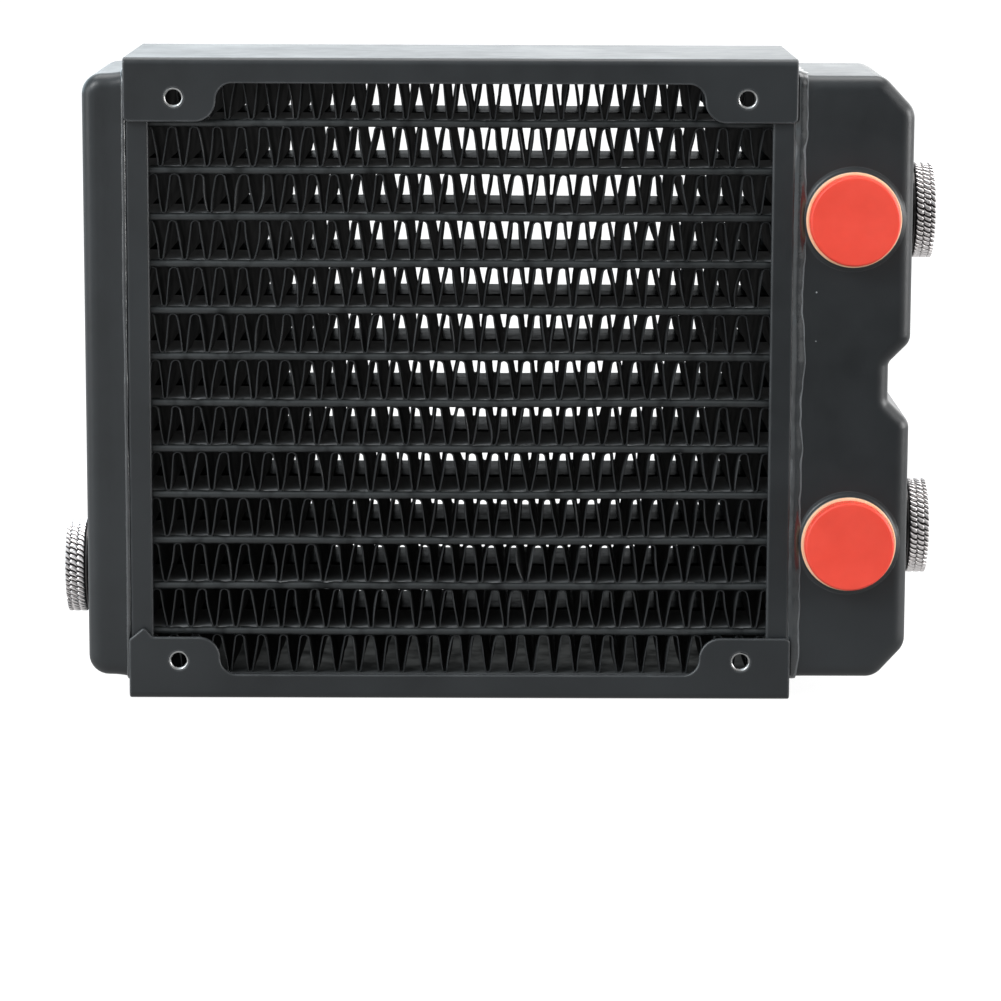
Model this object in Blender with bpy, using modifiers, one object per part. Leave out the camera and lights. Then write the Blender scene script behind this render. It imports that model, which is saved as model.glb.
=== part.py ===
"""Single-fan liquid cooling radiator: two tanks, a tube-and-fin core, a folded sheet frame with
fan holes, and five ports closed by three metal stop plugs and two plastic transport caps.

Axes: +X runs from the narrow tank to the wide tank, -Y is the front face with the transport
caps, +Z is up. Origin: centre of the underside, in the middle of the fan hole pattern and of
the depth. Metres.
"""

import math

import bmesh
import bpy
from mathutils import Matrix, Vector

MM = 0.001

# ---- Sizes shared by several pieces ----

FRAME_W = 123.5 * MM
FRAME_H = 119.5 * MM
DEPTH = 45.0 * MM
SHEET = 1.0 * MM
BEND = 1.3 * MM  # outer radius of a fold
GAP = 0.3 * MM  # clearance between neighbouring pieces
TURNED_SIDES = 24

CORE_Z = FRAME_H / 2
TUBES = 12
TUBE_PITCH = 8.65 * MM
TUBE_T = 1.4 * MM
TUBE_DEPTH = 38.0 * MM
FIN_SPACE = TUBE_PITCH - TUBE_T  # clear height between two tubes
TUBE_Z = [CORE_Z + ((TUBES - 1) / 2 - i) * TUBE_PITCH for i in range(TUBES)]

# Side rails, which are the folded rims of the header plates
RAIL_OUT = FRAME_W / 2 - GAP
RAIL_IN = 57.25 * MM
RAIL_FRONT = DEPTH / 2 - SHEET - GAP

TANK_HALF_DEPTH = 20.8 * MM
TANK_WALL = 1.0 * MM
LEFT_X = -69.6 * MM  # outer end of the narrow tank
RIGHT_X = 83.5 * MM  # outer end of the wide tank
NOTCH_DEEP = 4.0 * MM  # notch in the wide tank's end

PORT_X = 72.35 * MM
PORT_HIGH_Z = 90.15 * MM
PORT_LOW_Z = 29.65 * MM
PORT_LEFT_Z = 21.4 * MM
PORT_END_DROP = 0.2 * MM  # the wide tank's end ports sit a little below its front ports
BOSS_H = 0.8 * MM  # boss face above the tank's wall
BARREL_R = 8.2 * MM
BORE_R = 6.65 * MM
SHANK_R = 6.3 * MM

# Each port: the centre of its boss face, and the direction it looks in
FRONT_FACE_Y = -TANK_HALF_DEPTH - BOSS_H
PORTS = {
    "front_upper": ((PORT_X, FRONT_FACE_Y, PORT_HIGH_Z), (0, -1, 0)),
    "front_lower": ((PORT_X, FRONT_FACE_Y, PORT_LOW_Z), (0, -1, 0)),
    "end_upper": ((RIGHT_X + BOSS_H, 0, PORT_HIGH_Z - PORT_END_DROP), (1, 0, 0)),
    "end_lower": ((RIGHT_X + BOSS_H, 0, PORT_LOW_Z - PORT_END_DROP), (1, 0, 0)),
    "left_end": ((LEFT_X - BOSS_H, 0, PORT_LEFT_Z), (-1, 0, 0)),
}
LEFT_PORTS = ("left_end",)
RIGHT_PORTS = ("front_upper", "front_lower", "end_upper", "end_lower")
PLUGGED_PORTS = ("end_upper", "end_lower", "left_end")
CAPPED_PORTS = ("front_upper", "front_lower")


# ---- Scene, collections and materials ----

def clear_scene():
    for obj in list(bpy.data.objects):
        bpy.data.objects.remove(obj, do_unlink=True)
    for coll in list(bpy.data.collections):
        bpy.data.collections.remove(coll)


def collection(name):
    coll = bpy.data.collections.new(name)
    bpy.context.scene.collection.children.link(coll)
    return coll


def material(name, colour, roughness, metallic=0.0):
    mat = bpy.data.materials.new(name)
    mat.use_nodes = True
    bsdf = mat.node_tree.nodes["Principled BSDF"]
    bsdf.inputs["Base Color"].default_value = (*colour, 1.0)
    bsdf.inputs["Roughness"].default_value = roughness
    bsdf.inputs["Metallic"].default_value = metallic
    mat.diffuse_color = (*colour, 1.0)
    return mat


clear_scene()
PARTS = collection("cooling_radiator")
CUTTERS = collection("cutters")

BLACK = material("satin_black_paint", colour=(0.028, 0.031, 0.034), roughness=0.38)
TUBE_BLACK = material("tube_black_paint", colour=(0.022, 0.024, 0.026), roughness=0.42)
FIN_BLACK = material("fin_black_paint", colour=(0.012, 0.013, 0.014), roughness=0.45)
BRASS = material("bare_brass", colour=(0.60, 0.42, 0.18), roughness=0.35, metallic=1.0)
CHROME = material("knurled_chrome", colour=(0.78, 0.78, 0.80), roughness=0.18, metallic=1.0)
RUBBER = material("seal_rubber", colour=(0.012, 0.012, 0.012), roughness=0.7)
RED = material("cap_red_plastic", colour=(0.86, 0.075, 0.035), roughness=0.42)
PEACH = material("cap_washer_silicone", colour=(0.82, 0.40, 0.22), roughness=0.5)


# ---- Outlines ----

def filleted(corners, steps=4):
    """The points of a closed outline whose corners (x, y, radius) are rounded."""
    points = []
    count = len(corners)
    for i, (x, y, radius) in enumerate(corners):
        here = Vector((x, y))
        if radius <= 0:
            points.append(here)
            continue
        before = (Vector(corners[i - 1][:2]) - here).normalized()
        after = (Vector(corners[(i + 1) % count][:2]) - here).normalized()
        half_angle = math.acos(max(-1.0, min(1.0, before.dot(after)))) / 2
        centre = here + (before + after).normalized() * (radius / math.sin(half_angle))
        start = here + before * (radius / math.tan(half_angle)) - centre
        turn = math.pi - 2 * half_angle
        if before.x * after.y - before.y * after.x > 0:
            turn = -turn
        for k in range(steps + 1):
            cos, sin = math.cos(turn * k / steps), math.sin(turn * k / steps)
            arm = Vector((start.x * cos - start.y * sin, start.x * sin + start.y * cos))
            points.append(centre + arm)
    return points


def inset(corners, distance):
    """The same closed outline, drawn anticlockwise, moved inwards by a wall's thickness."""
    moved = []
    count = len(corners)
    for i, (x, y, radius) in enumerate(corners):
        here = Vector((x, y))
        along_in = (here - Vector(corners[i - 1][:2])).normalized()
        along_out = (Vector(corners[(i + 1) % count][:2]) - here).normalized()
        normal_in = Vector((-along_in.y, along_in.x))
        normal_out = Vector((-along_out.y, along_out.x))
        mitre = (normal_in + normal_out) / (1 + normal_in.dot(normal_out))
        convex = along_in.x * along_out.y - along_in.y * along_out.x > 0
        spot = here + mitre * distance
        new_radius = radius - distance if convex else radius + distance
        moved.append((spot.x, spot.y, new_radius))
    return moved


def stadium(y0, y1, z0, z1, steps=3, least=1e-6):
    """A slot outline with round ends, without points closer together than least."""
    radius = (z1 - z0) / 2
    corners = [(y0, z0, radius), (y1, z0, radius), (y1, z1, radius), (y0, z1, radius)]
    kept = []
    for point in filleted(corners, steps):
        if not kept or (point - kept[-1]).length > least:
            kept.append(point)
    if (kept[0] - kept[-1]).length <= least:
        kept.pop()
    return kept


# ---- Solids and modifiers ----

# Drawing planes: columns are where the drawing's own x, y and extrusion directions go
PLANE_XZ = Matrix(((1, 0, 0), (0, 0, -1), (0, 1, 0)))
PLANE_YZ = Matrix(((0, 0, 1), (1, 0, 0), (0, 1, 0)))
PLANE_XY = Matrix.Identity(3)


def add_object(name, mesh, matrix, mat):
    """Places a mesh. Without a material it is a hidden cutter."""
    obj = bpy.data.objects.new(name, mesh)
    obj.matrix_world = matrix
    if mat:
        PARTS.objects.link(obj)
        mesh.materials.append(mat)
    else:
        CUTTERS.objects.link(obj)
        obj.hide_render = True
        obj.display_type = "WIRE"
    return obj


def mesh_from(name, bm):
    mesh = bpy.data.meshes.new(name)
    bm.to_mesh(mesh)
    bm.free()
    return mesh


def plate(name, outlines, half_thickness, plane, mat=None, centre=(0, 0, 0), whole_faces=False):
    """A flat piece: a 2D curve of closed outlines, filled, extruded both ways and made a mesh.
    whole_faces leaves one face on each side of it, which a bevel along its edges needs."""
    curve = bpy.data.curves.new(name, "CURVE")
    curve.dimensions = "2D"
    curve.fill_mode = "BOTH"
    curve.extrude = half_thickness
    for points in outlines:
        spline = curve.splines.new("POLY")
        spline.points.add(len(points) - 1)
        for slot, (x, y) in zip(spline.points, points):
            slot.co = (x, y, 0, 1)
        spline.use_cyclic_u = True
    drawn = bpy.data.objects.new(name + "_outline", curve)
    bpy.context.scene.collection.objects.link(drawn)
    drawn.matrix_world = Matrix.Translation(centre) @ plane.to_4x4()
    bpy.context.view_layer.update()
    graph = bpy.context.evaluated_depsgraph_get()
    mesh = bpy.data.meshes.new_from_object(drawn.evaluated_get(graph))
    mesh.name = name
    world = drawn.matrix_world.copy()
    bpy.data.objects.remove(drawn, do_unlink=True)

    bm = bmesh.new()
    bm.from_mesh(mesh)
    bmesh.ops.remove_doubles(bm, verts=bm.verts, dist=1e-6)
    if whole_faces:
        bmesh.ops.dissolve_limit(
            bm, angle_limit=math.radians(0.5), verts=bm.verts, edges=bm.edges
        )
    bmesh.ops.recalc_face_normals(bm, faces=bm.faces)
    bm.to_mesh(mesh)
    bm.free()
    return add_object(name, mesh, world, mat)


def block(name, low, high, mat=None):
    """A box between two corners."""
    bm = bmesh.new()
    bmesh.ops.create_cube(bm, size=1.0)
    bmesh.ops.scale(bm, vec=[h - l for l, h in zip(low, high)], verts=bm.verts)
    centre = [(l + h) / 2 for l, h in zip(low, high)]
    return add_object(name, mesh_from(name, bm), Matrix.Translation(centre), mat)


def facing(axis):
    """Turns +Z to look along an axis."""
    turn = Vector((0, 0, 1)).rotation_difference(Vector(axis).normalized())
    return turn.to_matrix().to_4x4()


def rod(name, radius, start, end, sides=TURNED_SIDES):
    """A cylindrical cutter from one point to another."""
    start, end = Vector(start), Vector(end)
    bm = bmesh.new()
    bmesh.ops.create_cone(
        bm,
        cap_ends=True,
        segments=sides,
        radius1=radius,
        radius2=radius,
        depth=(end - start).length,
    )
    matrix = Matrix.Translation((start + end) / 2) @ facing(end - start)
    return add_object(name, mesh_from(name, bm), matrix, None)


def turned(name, profile, port, mat, closed=False):
    """A turned part on a port: a profile of (radius, height above the boss face) points, run
    round its own Z with a Screw modifier. closed joins the last point to the first."""
    bm = bmesh.new()
    verts = [bm.verts.new((radius, 0, height)) for radius, height in profile]
    for a, b in zip(verts, verts[1:]):
        bm.edges.new((a, b))
    if closed:
        bm.edges.new((verts[-1], verts[0]))
    spot, axis = PORTS[port]
    matrix = Matrix.Translation(spot) @ facing(axis)
    obj = add_object(name, mesh_from(name, bm), matrix, mat)
    screw = obj.modifiers.new("Turn", "SCREW")
    screw.axis = "Z"
    screw.angle = 2 * math.pi
    screw.steps = TURNED_SIDES
    screw.render_steps = TURNED_SIDES
    screw.use_smooth_shade = False
    screw.use_merge_vertices = True
    screw.merge_threshold = 1e-5
    return obj


def port_rod(name, radius, port, low, high, sides=TURNED_SIDES):
    """A cutter along a port's axis, between two heights measured from the boss face."""
    spot, axis = (Vector(v) for v in PORTS[port])
    return rod(name, radius, spot + axis * low, spot + axis * high, sides)


def cut(obj, *cutters):
    for cutter in cutters:
        boolean = obj.modifiers.new("Cut_" + cutter.name, "BOOLEAN")
        boolean.operation = "DIFFERENCE"
        boolean.solver = "EXACT"
        boolean.object = cutter


def soften(obj, width, segments):
    bevel = obj.modifiers.new("Soften", "BEVEL")
    bevel.width = width
    bevel.segments = segments
    bevel.limit_method = "ANGLE"
    bevel.angle_limit = math.radians(60)
    bevel.use_clamp_overlap = False


# ---- Frame channels ----

HOLE_PITCH = 105.0 * MM  # fan hole square
HOLE_D = 3.5 * MM
HOLE_Z = (FRAME_H - HOLE_PITCH) / 2
HOLE_SIDES = 20
CHANNEL_TALL = 14.5 * MM  # flange height before the windows are cut
RIM = 4.65 * MM  # height of the front and rear flange between the lugs
LUG_H = 11.7 * MM
LUG_FLAT = 13.0 * MM  # straight run of a lug's edge, from the frame's side
LUG_R_OUT = 4.0 * MM  # the lug's rounded corner towards the middle
LUG_R_IN = 3.0 * MM  # the fillet between lug and rim
LUG_R_SIDE = 1.0 * MM  # the lug's rounded corner at the frame's side
# Peak on one lug: distances from the frame's side, and heights
PEAK_FOOT = 4.4 * MM
PEAK_FOOT_R = 0.4 * MM
PEAK_TIP = 2.8 * MM
PEAK_TIP_R = 0.3 * MM
PEAK_H = 13.5 * MM
PEAK_SIDE_DROP = 0.5 * MM  # its end at the frame's side, below the lug's height
# The windows run past the flanges on all free sides
WINDOW_PAST = 6 * MM
WINDOW_TALL = 20 * MM
WINDOW_Y = 15 * MM
WINDOW_HALF_DEPTH = 12 * MM


def channel(name, upper):
    """A folded U-channel of the frame, with a fan hole lug at each end, front and rear."""

    def height(from_web):
        return FRAME_H - from_web if upper else from_web

    half_depth = DEPTH / 2
    section = [
        (-half_depth, height(CHANNEL_TALL), 0),
        (-half_depth, height(0), BEND),
        (half_depth, height(0), BEND),
        (half_depth, height(CHANNEL_TALL), 0),
        (half_depth - SHEET, height(CHANNEL_TALL), 0),
        (half_depth - SHEET, height(SHEET), BEND - SHEET),
        (-half_depth + SHEET, height(SHEET), BEND - SHEET),
        (-half_depth + SHEET, height(CHANNEL_TALL), 0),
    ]
    obj = plate(name, [filleted(section)], FRAME_W / 2, PLANE_YZ, BLACK)

    half_w = FRAME_W / 2
    step = half_w - LUG_FLAT - LUG_R_OUT
    far = half_w + WINDOW_PAST
    for side, y in (("front", -WINDOW_Y), ("rear", WINDOW_Y)):
        edge = [
            (far, height(WINDOW_TALL), 0),
            (far, height(LUG_H - LUG_R_SIDE), 0),
            (half_w, height(LUG_H - LUG_R_SIDE), 0),
            (half_w, height(LUG_H), LUG_R_SIDE),
            (step, height(LUG_H), LUG_R_OUT),
            (step, height(RIM), LUG_R_IN),
            (-step, height(RIM), LUG_R_IN),
            (-step, height(LUG_H), LUG_R_OUT),
        ]
        if side == "front" and not upper:
            # the lower front lug at -X rises to a small peak
            edge += [
                (-half_w + PEAK_FOOT, height(LUG_H), PEAK_FOOT_R),
                (-half_w + PEAK_TIP, height(PEAK_H), PEAK_TIP_R),
                (-half_w, height(LUG_H - PEAK_SIDE_DROP), 0),
                (-far, height(LUG_H - PEAK_SIDE_DROP), 0),
            ]
        else:
            edge += [
                (-half_w, height(LUG_H), LUG_R_SIDE),
                (-half_w, height(LUG_H - LUG_R_SIDE), 0),
                (-far, height(LUG_H - LUG_R_SIDE), 0),
            ]
        edge.append((-far, height(WINDOW_TALL), 0))
        window = plate(
            f"{name}_window_{side}",
            [filleted(edge, 6)],
            WINDOW_HALF_DEPTH,
            PLANE_XZ,
            centre=(0, y, 0),
        )
        cut(obj, window)

    hole_z = height(HOLE_Z)
    for i, x in enumerate((-HOLE_PITCH / 2, HOLE_PITCH / 2), 1):
        ends = (x, -DEPTH, hole_z), (x, DEPTH, hole_z)
        cut(obj, rod(f"{name}_drill_{i}", HOLE_D / 2, *ends, HOLE_SIDES))


# ---- Core ----

TUBE_WALL = 0.25 * MM
TUBE_HALF_LENGTH = 63.4 * MM
SEAM_HALF_W = 0.35 * MM
SEAM_DEEP = 0.2 * MM
WATER_FROM = 0.55 * MM  # a water channel's inner end, from the tube's middle
WATER_EDGE = 0.5 * MM  # its outer end, from the tube's edge
TUBE_ARC_STEPS = 5
FIN_FOLDS = 28
FIN_PITCH = 4.18 * MM
FIN_DEPTH = 37.0 * MM
FIN_UPRIGHT_T = 0.6 * MM  # sheet measured straight up through the steep fold
SIDE_PLATE_T = 0.8 * MM
SIDE_PLATE_BEVEL = 0.15 * MM
SLOTS_HALF_LENGTH = 90 * MM


def tube(name, z):
    """A flat tube with two water channels side by side, and a shallow seam along its middle."""
    half_t, half_depth = TUBE_T / 2, TUBE_DEPTH / 2
    angles = [math.pi * k / TUBE_ARC_STEPS for k in range(TUBE_ARC_STEPS + 1)]
    rear = [
        (half_depth - half_t + half_t * math.sin(a), -half_t * math.cos(a)) for a in angles
    ]
    seam = [(-SEAM_HALF_W, -half_t), (0, -half_t + SEAM_DEEP), (SEAM_HALF_W, -half_t)]
    lower_rear = seam + rear
    outer = lower_rear + [(-y, -v) for y, v in lower_rear]
    half_bore = half_t - TUBE_WALL
    loop = stadium(WATER_FROM, half_depth - WATER_EDGE, -half_bore, half_bore)
    channels = [[(sign * y, v) for y, v in loop] for sign in (1, -1)]
    outlines = [outer] + channels
    plate(name, outlines, TUBE_HALF_LENGTH, PLANE_YZ, TUBE_BLACK, (0, 0, z))


def fin_strip(name, low, high):
    """One folded strip of fin: a zigzag of even sheet from header to header."""
    start = -FIN_FOLDS * FIN_PITCH / 2
    under, over = [], []
    for i in range(2 * FIN_FOLDS + 1):
        x = start + i * FIN_PITCH / 2
        z = high - FIN_UPRIGHT_T if i % 2 else low
        under.append((x, z))
        over.append((x, z + FIN_UPRIGHT_T))
    plate(name, [under + over[::-1]], FIN_DEPTH / 2, PLANE_XZ, FIN_BLACK)


def side_plate(name, low):
    """A flat plate that closes the core above or below the outermost fins."""
    reach = RAIL_OUT - SHEET - GAP
    half_depth = TUBE_DEPTH / 2
    corners = (-reach, -half_depth, low), (reach, half_depth, low + SIDE_PLATE_T)
    soften(block(name, *corners, BLACK), SIDE_PLATE_BEVEL, segments=1)


def core():
    for i, z in enumerate(TUBE_Z, 1):
        tube(f"core_tube_{i:02d}", z)
    for i in range(TUBES + 1):
        low = CORE_Z + (TUBES / 2 - i) * TUBE_PITCH - FIN_SPACE / 2
        fin_strip(f"fin_strip_{i + 1:02d}", low + GAP, low + FIN_SPACE - GAP)
    span = TUBES / 2 * TUBE_PITCH + FIN_SPACE / 2
    side_plate("core_side_plate_top", CORE_Z + span)
    side_plate("core_side_plate_bottom", CORE_Z - span - SIDE_PLATE_T)


def tube_slots():
    """The cutter for the tubes' slots in both header plates."""
    half_depth = TUBE_DEPTH / 2 + GAP
    half_h = TUBE_T / 2 + GAP
    outlines = [stadium(-half_depth, half_depth, z - half_h, z + half_h) for z in TUBE_Z]
    return plate("tube_slots", outlines, SLOTS_HALF_LENGTH, PLANE_YZ)


def header(name, side, slots):
    """The tube plate. Its rims fold inwards over the core's ends and make the side rails."""
    section = [
        (RAIL_OUT, -RAIL_FRONT, BEND),
        (RAIL_OUT, RAIL_FRONT, BEND),
        (RAIL_IN, RAIL_FRONT, 0),
        (RAIL_IN, RAIL_FRONT - SHEET, 0),
        (RAIL_OUT - SHEET, RAIL_FRONT - SHEET, BEND - SHEET),
        (RAIL_OUT - SHEET, -RAIL_FRONT + SHEET, BEND - SHEET),
        (RAIL_IN, -RAIL_FRONT + SHEET, 0),
        (RAIL_IN, -RAIL_FRONT, 0),
    ]
    points = [(side * x, y) for x, y in filleted(section)]
    low, high = SHEET + GAP, FRAME_H - SHEET - GAP
    centre = (0, 0, (high + low) / 2)
    obj = plate(name, [points], (high - low) / 2, PLANE_XY, BLACK, centre)
    cut(obj, slots)


# ---- Tanks ----

TANK_LOW = 3.8 * MM
TANK_HIGH = 116.4 * MM
TANK_EDGE = 2.3 * MM  # rounding of the tank's long edges
TANK_START = 50 * MM  # the outline's end towards the core, cut away later
START_R = 3.0 * MM
LEFT_CORNER_R = 3.8 * MM
RIGHT_CORNER_R = 4.0 * MM
NOTCH_LONG = 15.0 * MM
NOTCH_FLAT = 7.0 * MM
NOTCH_DROP = 0.1 * MM  # notch's middle, below the middle of the front ports
NOTCH_R_OUT = 3.0 * MM
NOTCH_R_IN = 1.5 * MM
# Corner chamfers of the wide tank: lengths along x and z
CHAMFER_TOP = (5.8 * MM, 6.2 * MM)
CHAMFER_LOW = (5.6 * MM, 6.1 * MM)
# Box that clears the tank's outline out of the core: x where it starts, then y and z limits
CORE_SPACE_X = 30 * MM
CORE_SPACE_Y = 40 * MM
CORE_SPACE_Z = (-20 * MM, 140 * MM)
# Port hole cutters, measured from the boss face
PORT_CUT_ABOVE = 1 * MM
PORT_CUT_BELOW = 6.5 * MM
BAFFLE_HALF_T = 0.4 * MM
BAFFLE_R = 2.0 * MM


def left_outline():
    """The narrow tank seen from the front, anticlockwise: x, z, corner radius."""
    return [
        (LEFT_X, TANK_LOW, LEFT_CORNER_R),
        (-TANK_START, TANK_LOW, START_R),
        (-TANK_START, TANK_HIGH, START_R),
        (LEFT_X, TANK_HIGH, LEFT_CORNER_R),
    ]


def right_outline():
    """The wide tank seen from the front, anticlockwise: x, z, corner radius."""
    notch_z = (PORT_HIGH_Z + PORT_LOW_Z) / 2 - NOTCH_DROP
    return [
        (TANK_START, TANK_LOW, START_R),
        (RIGHT_X - CHAMFER_LOW[0], TANK_LOW, RIGHT_CORNER_R),
        (RIGHT_X, TANK_LOW + CHAMFER_LOW[1], RIGHT_CORNER_R),
        (RIGHT_X, notch_z - NOTCH_LONG / 2, NOTCH_R_OUT),
        (RIGHT_X - NOTCH_DEEP, notch_z - NOTCH_FLAT / 2, NOTCH_R_IN),
        (RIGHT_X - NOTCH_DEEP, notch_z + NOTCH_FLAT / 2, NOTCH_R_IN),
        (RIGHT_X, notch_z + NOTCH_LONG / 2, NOTCH_R_OUT),
        (RIGHT_X, TANK_HIGH - CHAMFER_TOP[1], RIGHT_CORNER_R),
        (RIGHT_X - CHAMFER_TOP[0], TANK_HIGH, RIGHT_CORNER_R),
        (TANK_START, TANK_HIGH, START_R),
    ]


def tank_form(name, corners, inwards, segments, mat=None):
    """The tank's solid form, or its hollow when moved inwards by the wall."""
    half_depth = TANK_HALF_DEPTH - inwards
    obj = plate(name, [filleted(corners, 3)], half_depth, PLANE_XZ, mat, whole_faces=True)
    soften(obj, TANK_EDGE - inwards, segments)
    return obj


def tank(name, side, corners, ports):
    """A tank one wall thick, open towards the header plate, with a hole for each port."""
    obj = tank_form(name, corners, inwards=0, segments=3, mat=BLACK)
    hollow = tank_form(
        name + "_hollow", inset(corners, TANK_WALL), inwards=TANK_WALL, segments=2
    )
    x_low, x_high = sorted((side * CORE_SPACE_X, side * FRAME_W / 2))
    z_low, z_high = CORE_SPACE_Z
    core_space = block(
        name + "_core_space", (x_low, -CORE_SPACE_Y, z_low), (x_high, CORE_SPACE_Y, z_high)
    )
    cut(obj, core_space, hollow)
    for i, port in enumerate(ports, 1):
        # the rod starts at its upper end, outside the tank
        hole = port_rod(
            f"{name}_port_{i}", BARREL_R + GAP, port, PORT_CUT_ABOVE, -PORT_CUT_BELOW
        )
        cut(obj, hole)


def tank_baffle():
    """The level plate across the middle of the wide tank."""
    near = RAIL_OUT + GAP
    far = RIGHT_X - NOTCH_DEEP - TANK_WALL - GAP
    half_depth = TANK_HALF_DEPTH - TANK_WALL - GAP
    corners = [
        (near, -half_depth, 0),
        (far, -half_depth, BAFFLE_R),
        (far, half_depth, BAFFLE_R),
        (near, half_depth, 0),
    ]
    outline = filleted(corners, 3)
    plate("tank_baffle", [outline], BAFFLE_HALF_T, PLANE_XY, BRASS, (0, 0, CORE_Z))


# ---- Port inserts, stop plugs and transport caps: heights are above the boss face ----

BOSS_TOP_R = 8.9 * MM
BOSS_BASE_R = 9.6 * MM
BOSS_CHAMFER = 0.3 * MM
BARREL_END = 5.6 * MM  # below the boss face

PLUG_R = 9.0 * MM
PLUG_UNDER = 0.45 * MM
PLUG_TOP = 4.6 * MM
PLUG_TOP_CHAMFER = 0.7 * MM
PLUG_LOW_CHAMFER = 0.3 * MM
PLUG_GROOVE = 0.25 * MM  # depth and half width of the groove between the rim's bands
PLUG_SHANK = 4.7 * MM
PLUG_SHANK_CHAMFER = 0.5 * MM
SOCKET_FLATS = 6.0 * MM
SOCKET_DEEP = 2.6 * MM
SOCKET_PAST = 2 * MM  # socket cutter above the plug's top
RING_R = 7.35 * MM
RING_SECTION_R = 0.65 * MM
RING_SECTION_SIDES = 8
RECESS_R = RING_R + 1.1 * MM
RECESS_TOP = PLUG_UNDER + 1.2 * MM
RING_CLEAR = 0.17 * MM  # between the ring and the recess's top

CAP_R = 8.4 * MM
CAP_UNDER = 1.0 * MM
CAP_TOP = 3.7 * MM
CAP_SHANK = 5.0 * MM
CAP_CHAMFER = 0.4 * MM
CAP_BORE_R = 4.7 * MM
CAP_BORE_TOP = CAP_UNDER + 0.8 * MM
WASHER_R = 8.8 * MM
WASHER_BORE_R = BORE_R + 0.1 * MM
WASHER_CLEAR = 0.15 * MM


def port_insert(port):
    """A port bush: a low tapered boss outside the tank and a barrel through its wall."""
    base = -(BOSS_H - GAP)
    profile = [
        (BORE_R, 0),
        (BOSS_TOP_R - BOSS_CHAMFER, 0),
        (BOSS_TOP_R, -BOSS_CHAMFER),
        (BOSS_BASE_R, base),
        (BARREL_R, base),
        (BARREL_R, -BARREL_END),
        (BORE_R, -BARREL_END),
    ]
    turned("port_insert_" + port, profile, port, BLACK, closed=True)


def stop_plug(port):
    """A metal plug: a rim in two bands, a recess for the O-ring, a shank, a hexagon socket."""
    name = "stop_plug_" + port
    band = (PLUG_TOP - PLUG_TOP_CHAMFER + PLUG_UNDER + PLUG_LOW_CHAMFER) / 2
    profile = [
        (0, PLUG_TOP),
        (PLUG_R - PLUG_TOP_CHAMFER, PLUG_TOP),
        (PLUG_R, PLUG_TOP - PLUG_TOP_CHAMFER),
        (PLUG_R, band + PLUG_GROOVE),
        (PLUG_R - PLUG_GROOVE, band),
        (PLUG_R, band - PLUG_GROOVE),
        (PLUG_R, PLUG_UNDER + PLUG_LOW_CHAMFER),
        (PLUG_R - PLUG_LOW_CHAMFER, PLUG_UNDER),
        (RECESS_R, PLUG_UNDER),
        (RECESS_R, RECESS_TOP),
        (SHANK_R, RECESS_TOP),
        (SHANK_R, -PLUG_SHANK + PLUG_SHANK_CHAMFER),
        (SHANK_R - PLUG_SHANK_CHAMFER, -PLUG_SHANK),
        (0, -PLUG_SHANK),
    ]
    obj = turned(name, profile, port, CHROME)
    socket = port_rod(
        name + "_socket",
        SOCKET_FLATS / math.sqrt(3),
        port,
        PLUG_TOP - SOCKET_DEEP,
        PLUG_TOP + SOCKET_PAST,
        sides=6,
    )
    cut(obj, socket)


def plug_seal(port):
    """The rubber O-ring held in the plug's recess."""
    centre = RECESS_TOP - RING_CLEAR - RING_SECTION_R
    angles = [2 * math.pi * k / RING_SECTION_SIDES for k in range(RING_SECTION_SIDES)]
    profile = [
        (RING_R + RING_SECTION_R * math.cos(a), centre - RING_SECTION_R * math.sin(a))
        for a in angles
    ]
    turned("plug_seal_" + port, profile, port, RUBBER, closed=True)


def transport_cap(port):
    """A moulded plastic cap with a hollow shank."""
    profile = [
        (0, CAP_TOP),
        (CAP_R - CAP_CHAMFER, CAP_TOP),
        (CAP_R, CAP_TOP - CAP_CHAMFER),
        (CAP_R, CAP_UNDER),
        (SHANK_R, CAP_UNDER),
        (SHANK_R, -CAP_SHANK + CAP_CHAMFER),
        (SHANK_R - CAP_CHAMFER, -CAP_SHANK),
        (CAP_BORE_R, -CAP_SHANK),
        (CAP_BORE_R, CAP_BORE_TOP),
        (0, CAP_BORE_TOP),
    ]
    turned("transport_cap_" + port, profile, port, RED)


def cap_washer(port):
    """The flat soft washer under a transport cap."""
    low, high = WASHER_CLEAR, CAP_UNDER - WASHER_CLEAR
    profile = [(WASHER_BORE_R, high), (WASHER_R, high), (WASHER_R, low), (WASHER_BORE_R, low)]
    turned("cap_washer_" + port, profile, port, PEACH, closed=True)


def build():
    channel("top_channel", upper=True)
    channel("bottom_channel", upper=False)
    core()
    slots = tube_slots()
    header("header_plate_left", -1, slots)
    header("header_plate_right", 1, slots)
    tank("tank_left", -1, left_outline(), LEFT_PORTS)
    tank("tank_right", 1, right_outline(), RIGHT_PORTS)
    tank_baffle()
    for port in PORTS:
        port_insert(port)
    for port in PLUGGED_PORTS:
        stop_plug(port)
        plug_seal(port)
    for port in CAPPED_PORTS:
        transport_cap(port)
        cap_washer(port)


build()
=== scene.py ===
"""The looks of a liquid cooling radiator: fine meshes and procedural finishes on the CAD frame.

The radiator stands upright on z = 0, centred on x = 0 and y = 0. Its front faces -Y, the narrow
tank is at its left end (-X) and the wide tank at its right end (+X). Sizes are in millimetres,
except in the shaders and the studio, which are in metres.
"""

import math
import random
from contextlib import contextmanager

import bmesh
import bpy
import numpy as np
from mathutils import Matrix, Vector, noise


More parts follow.
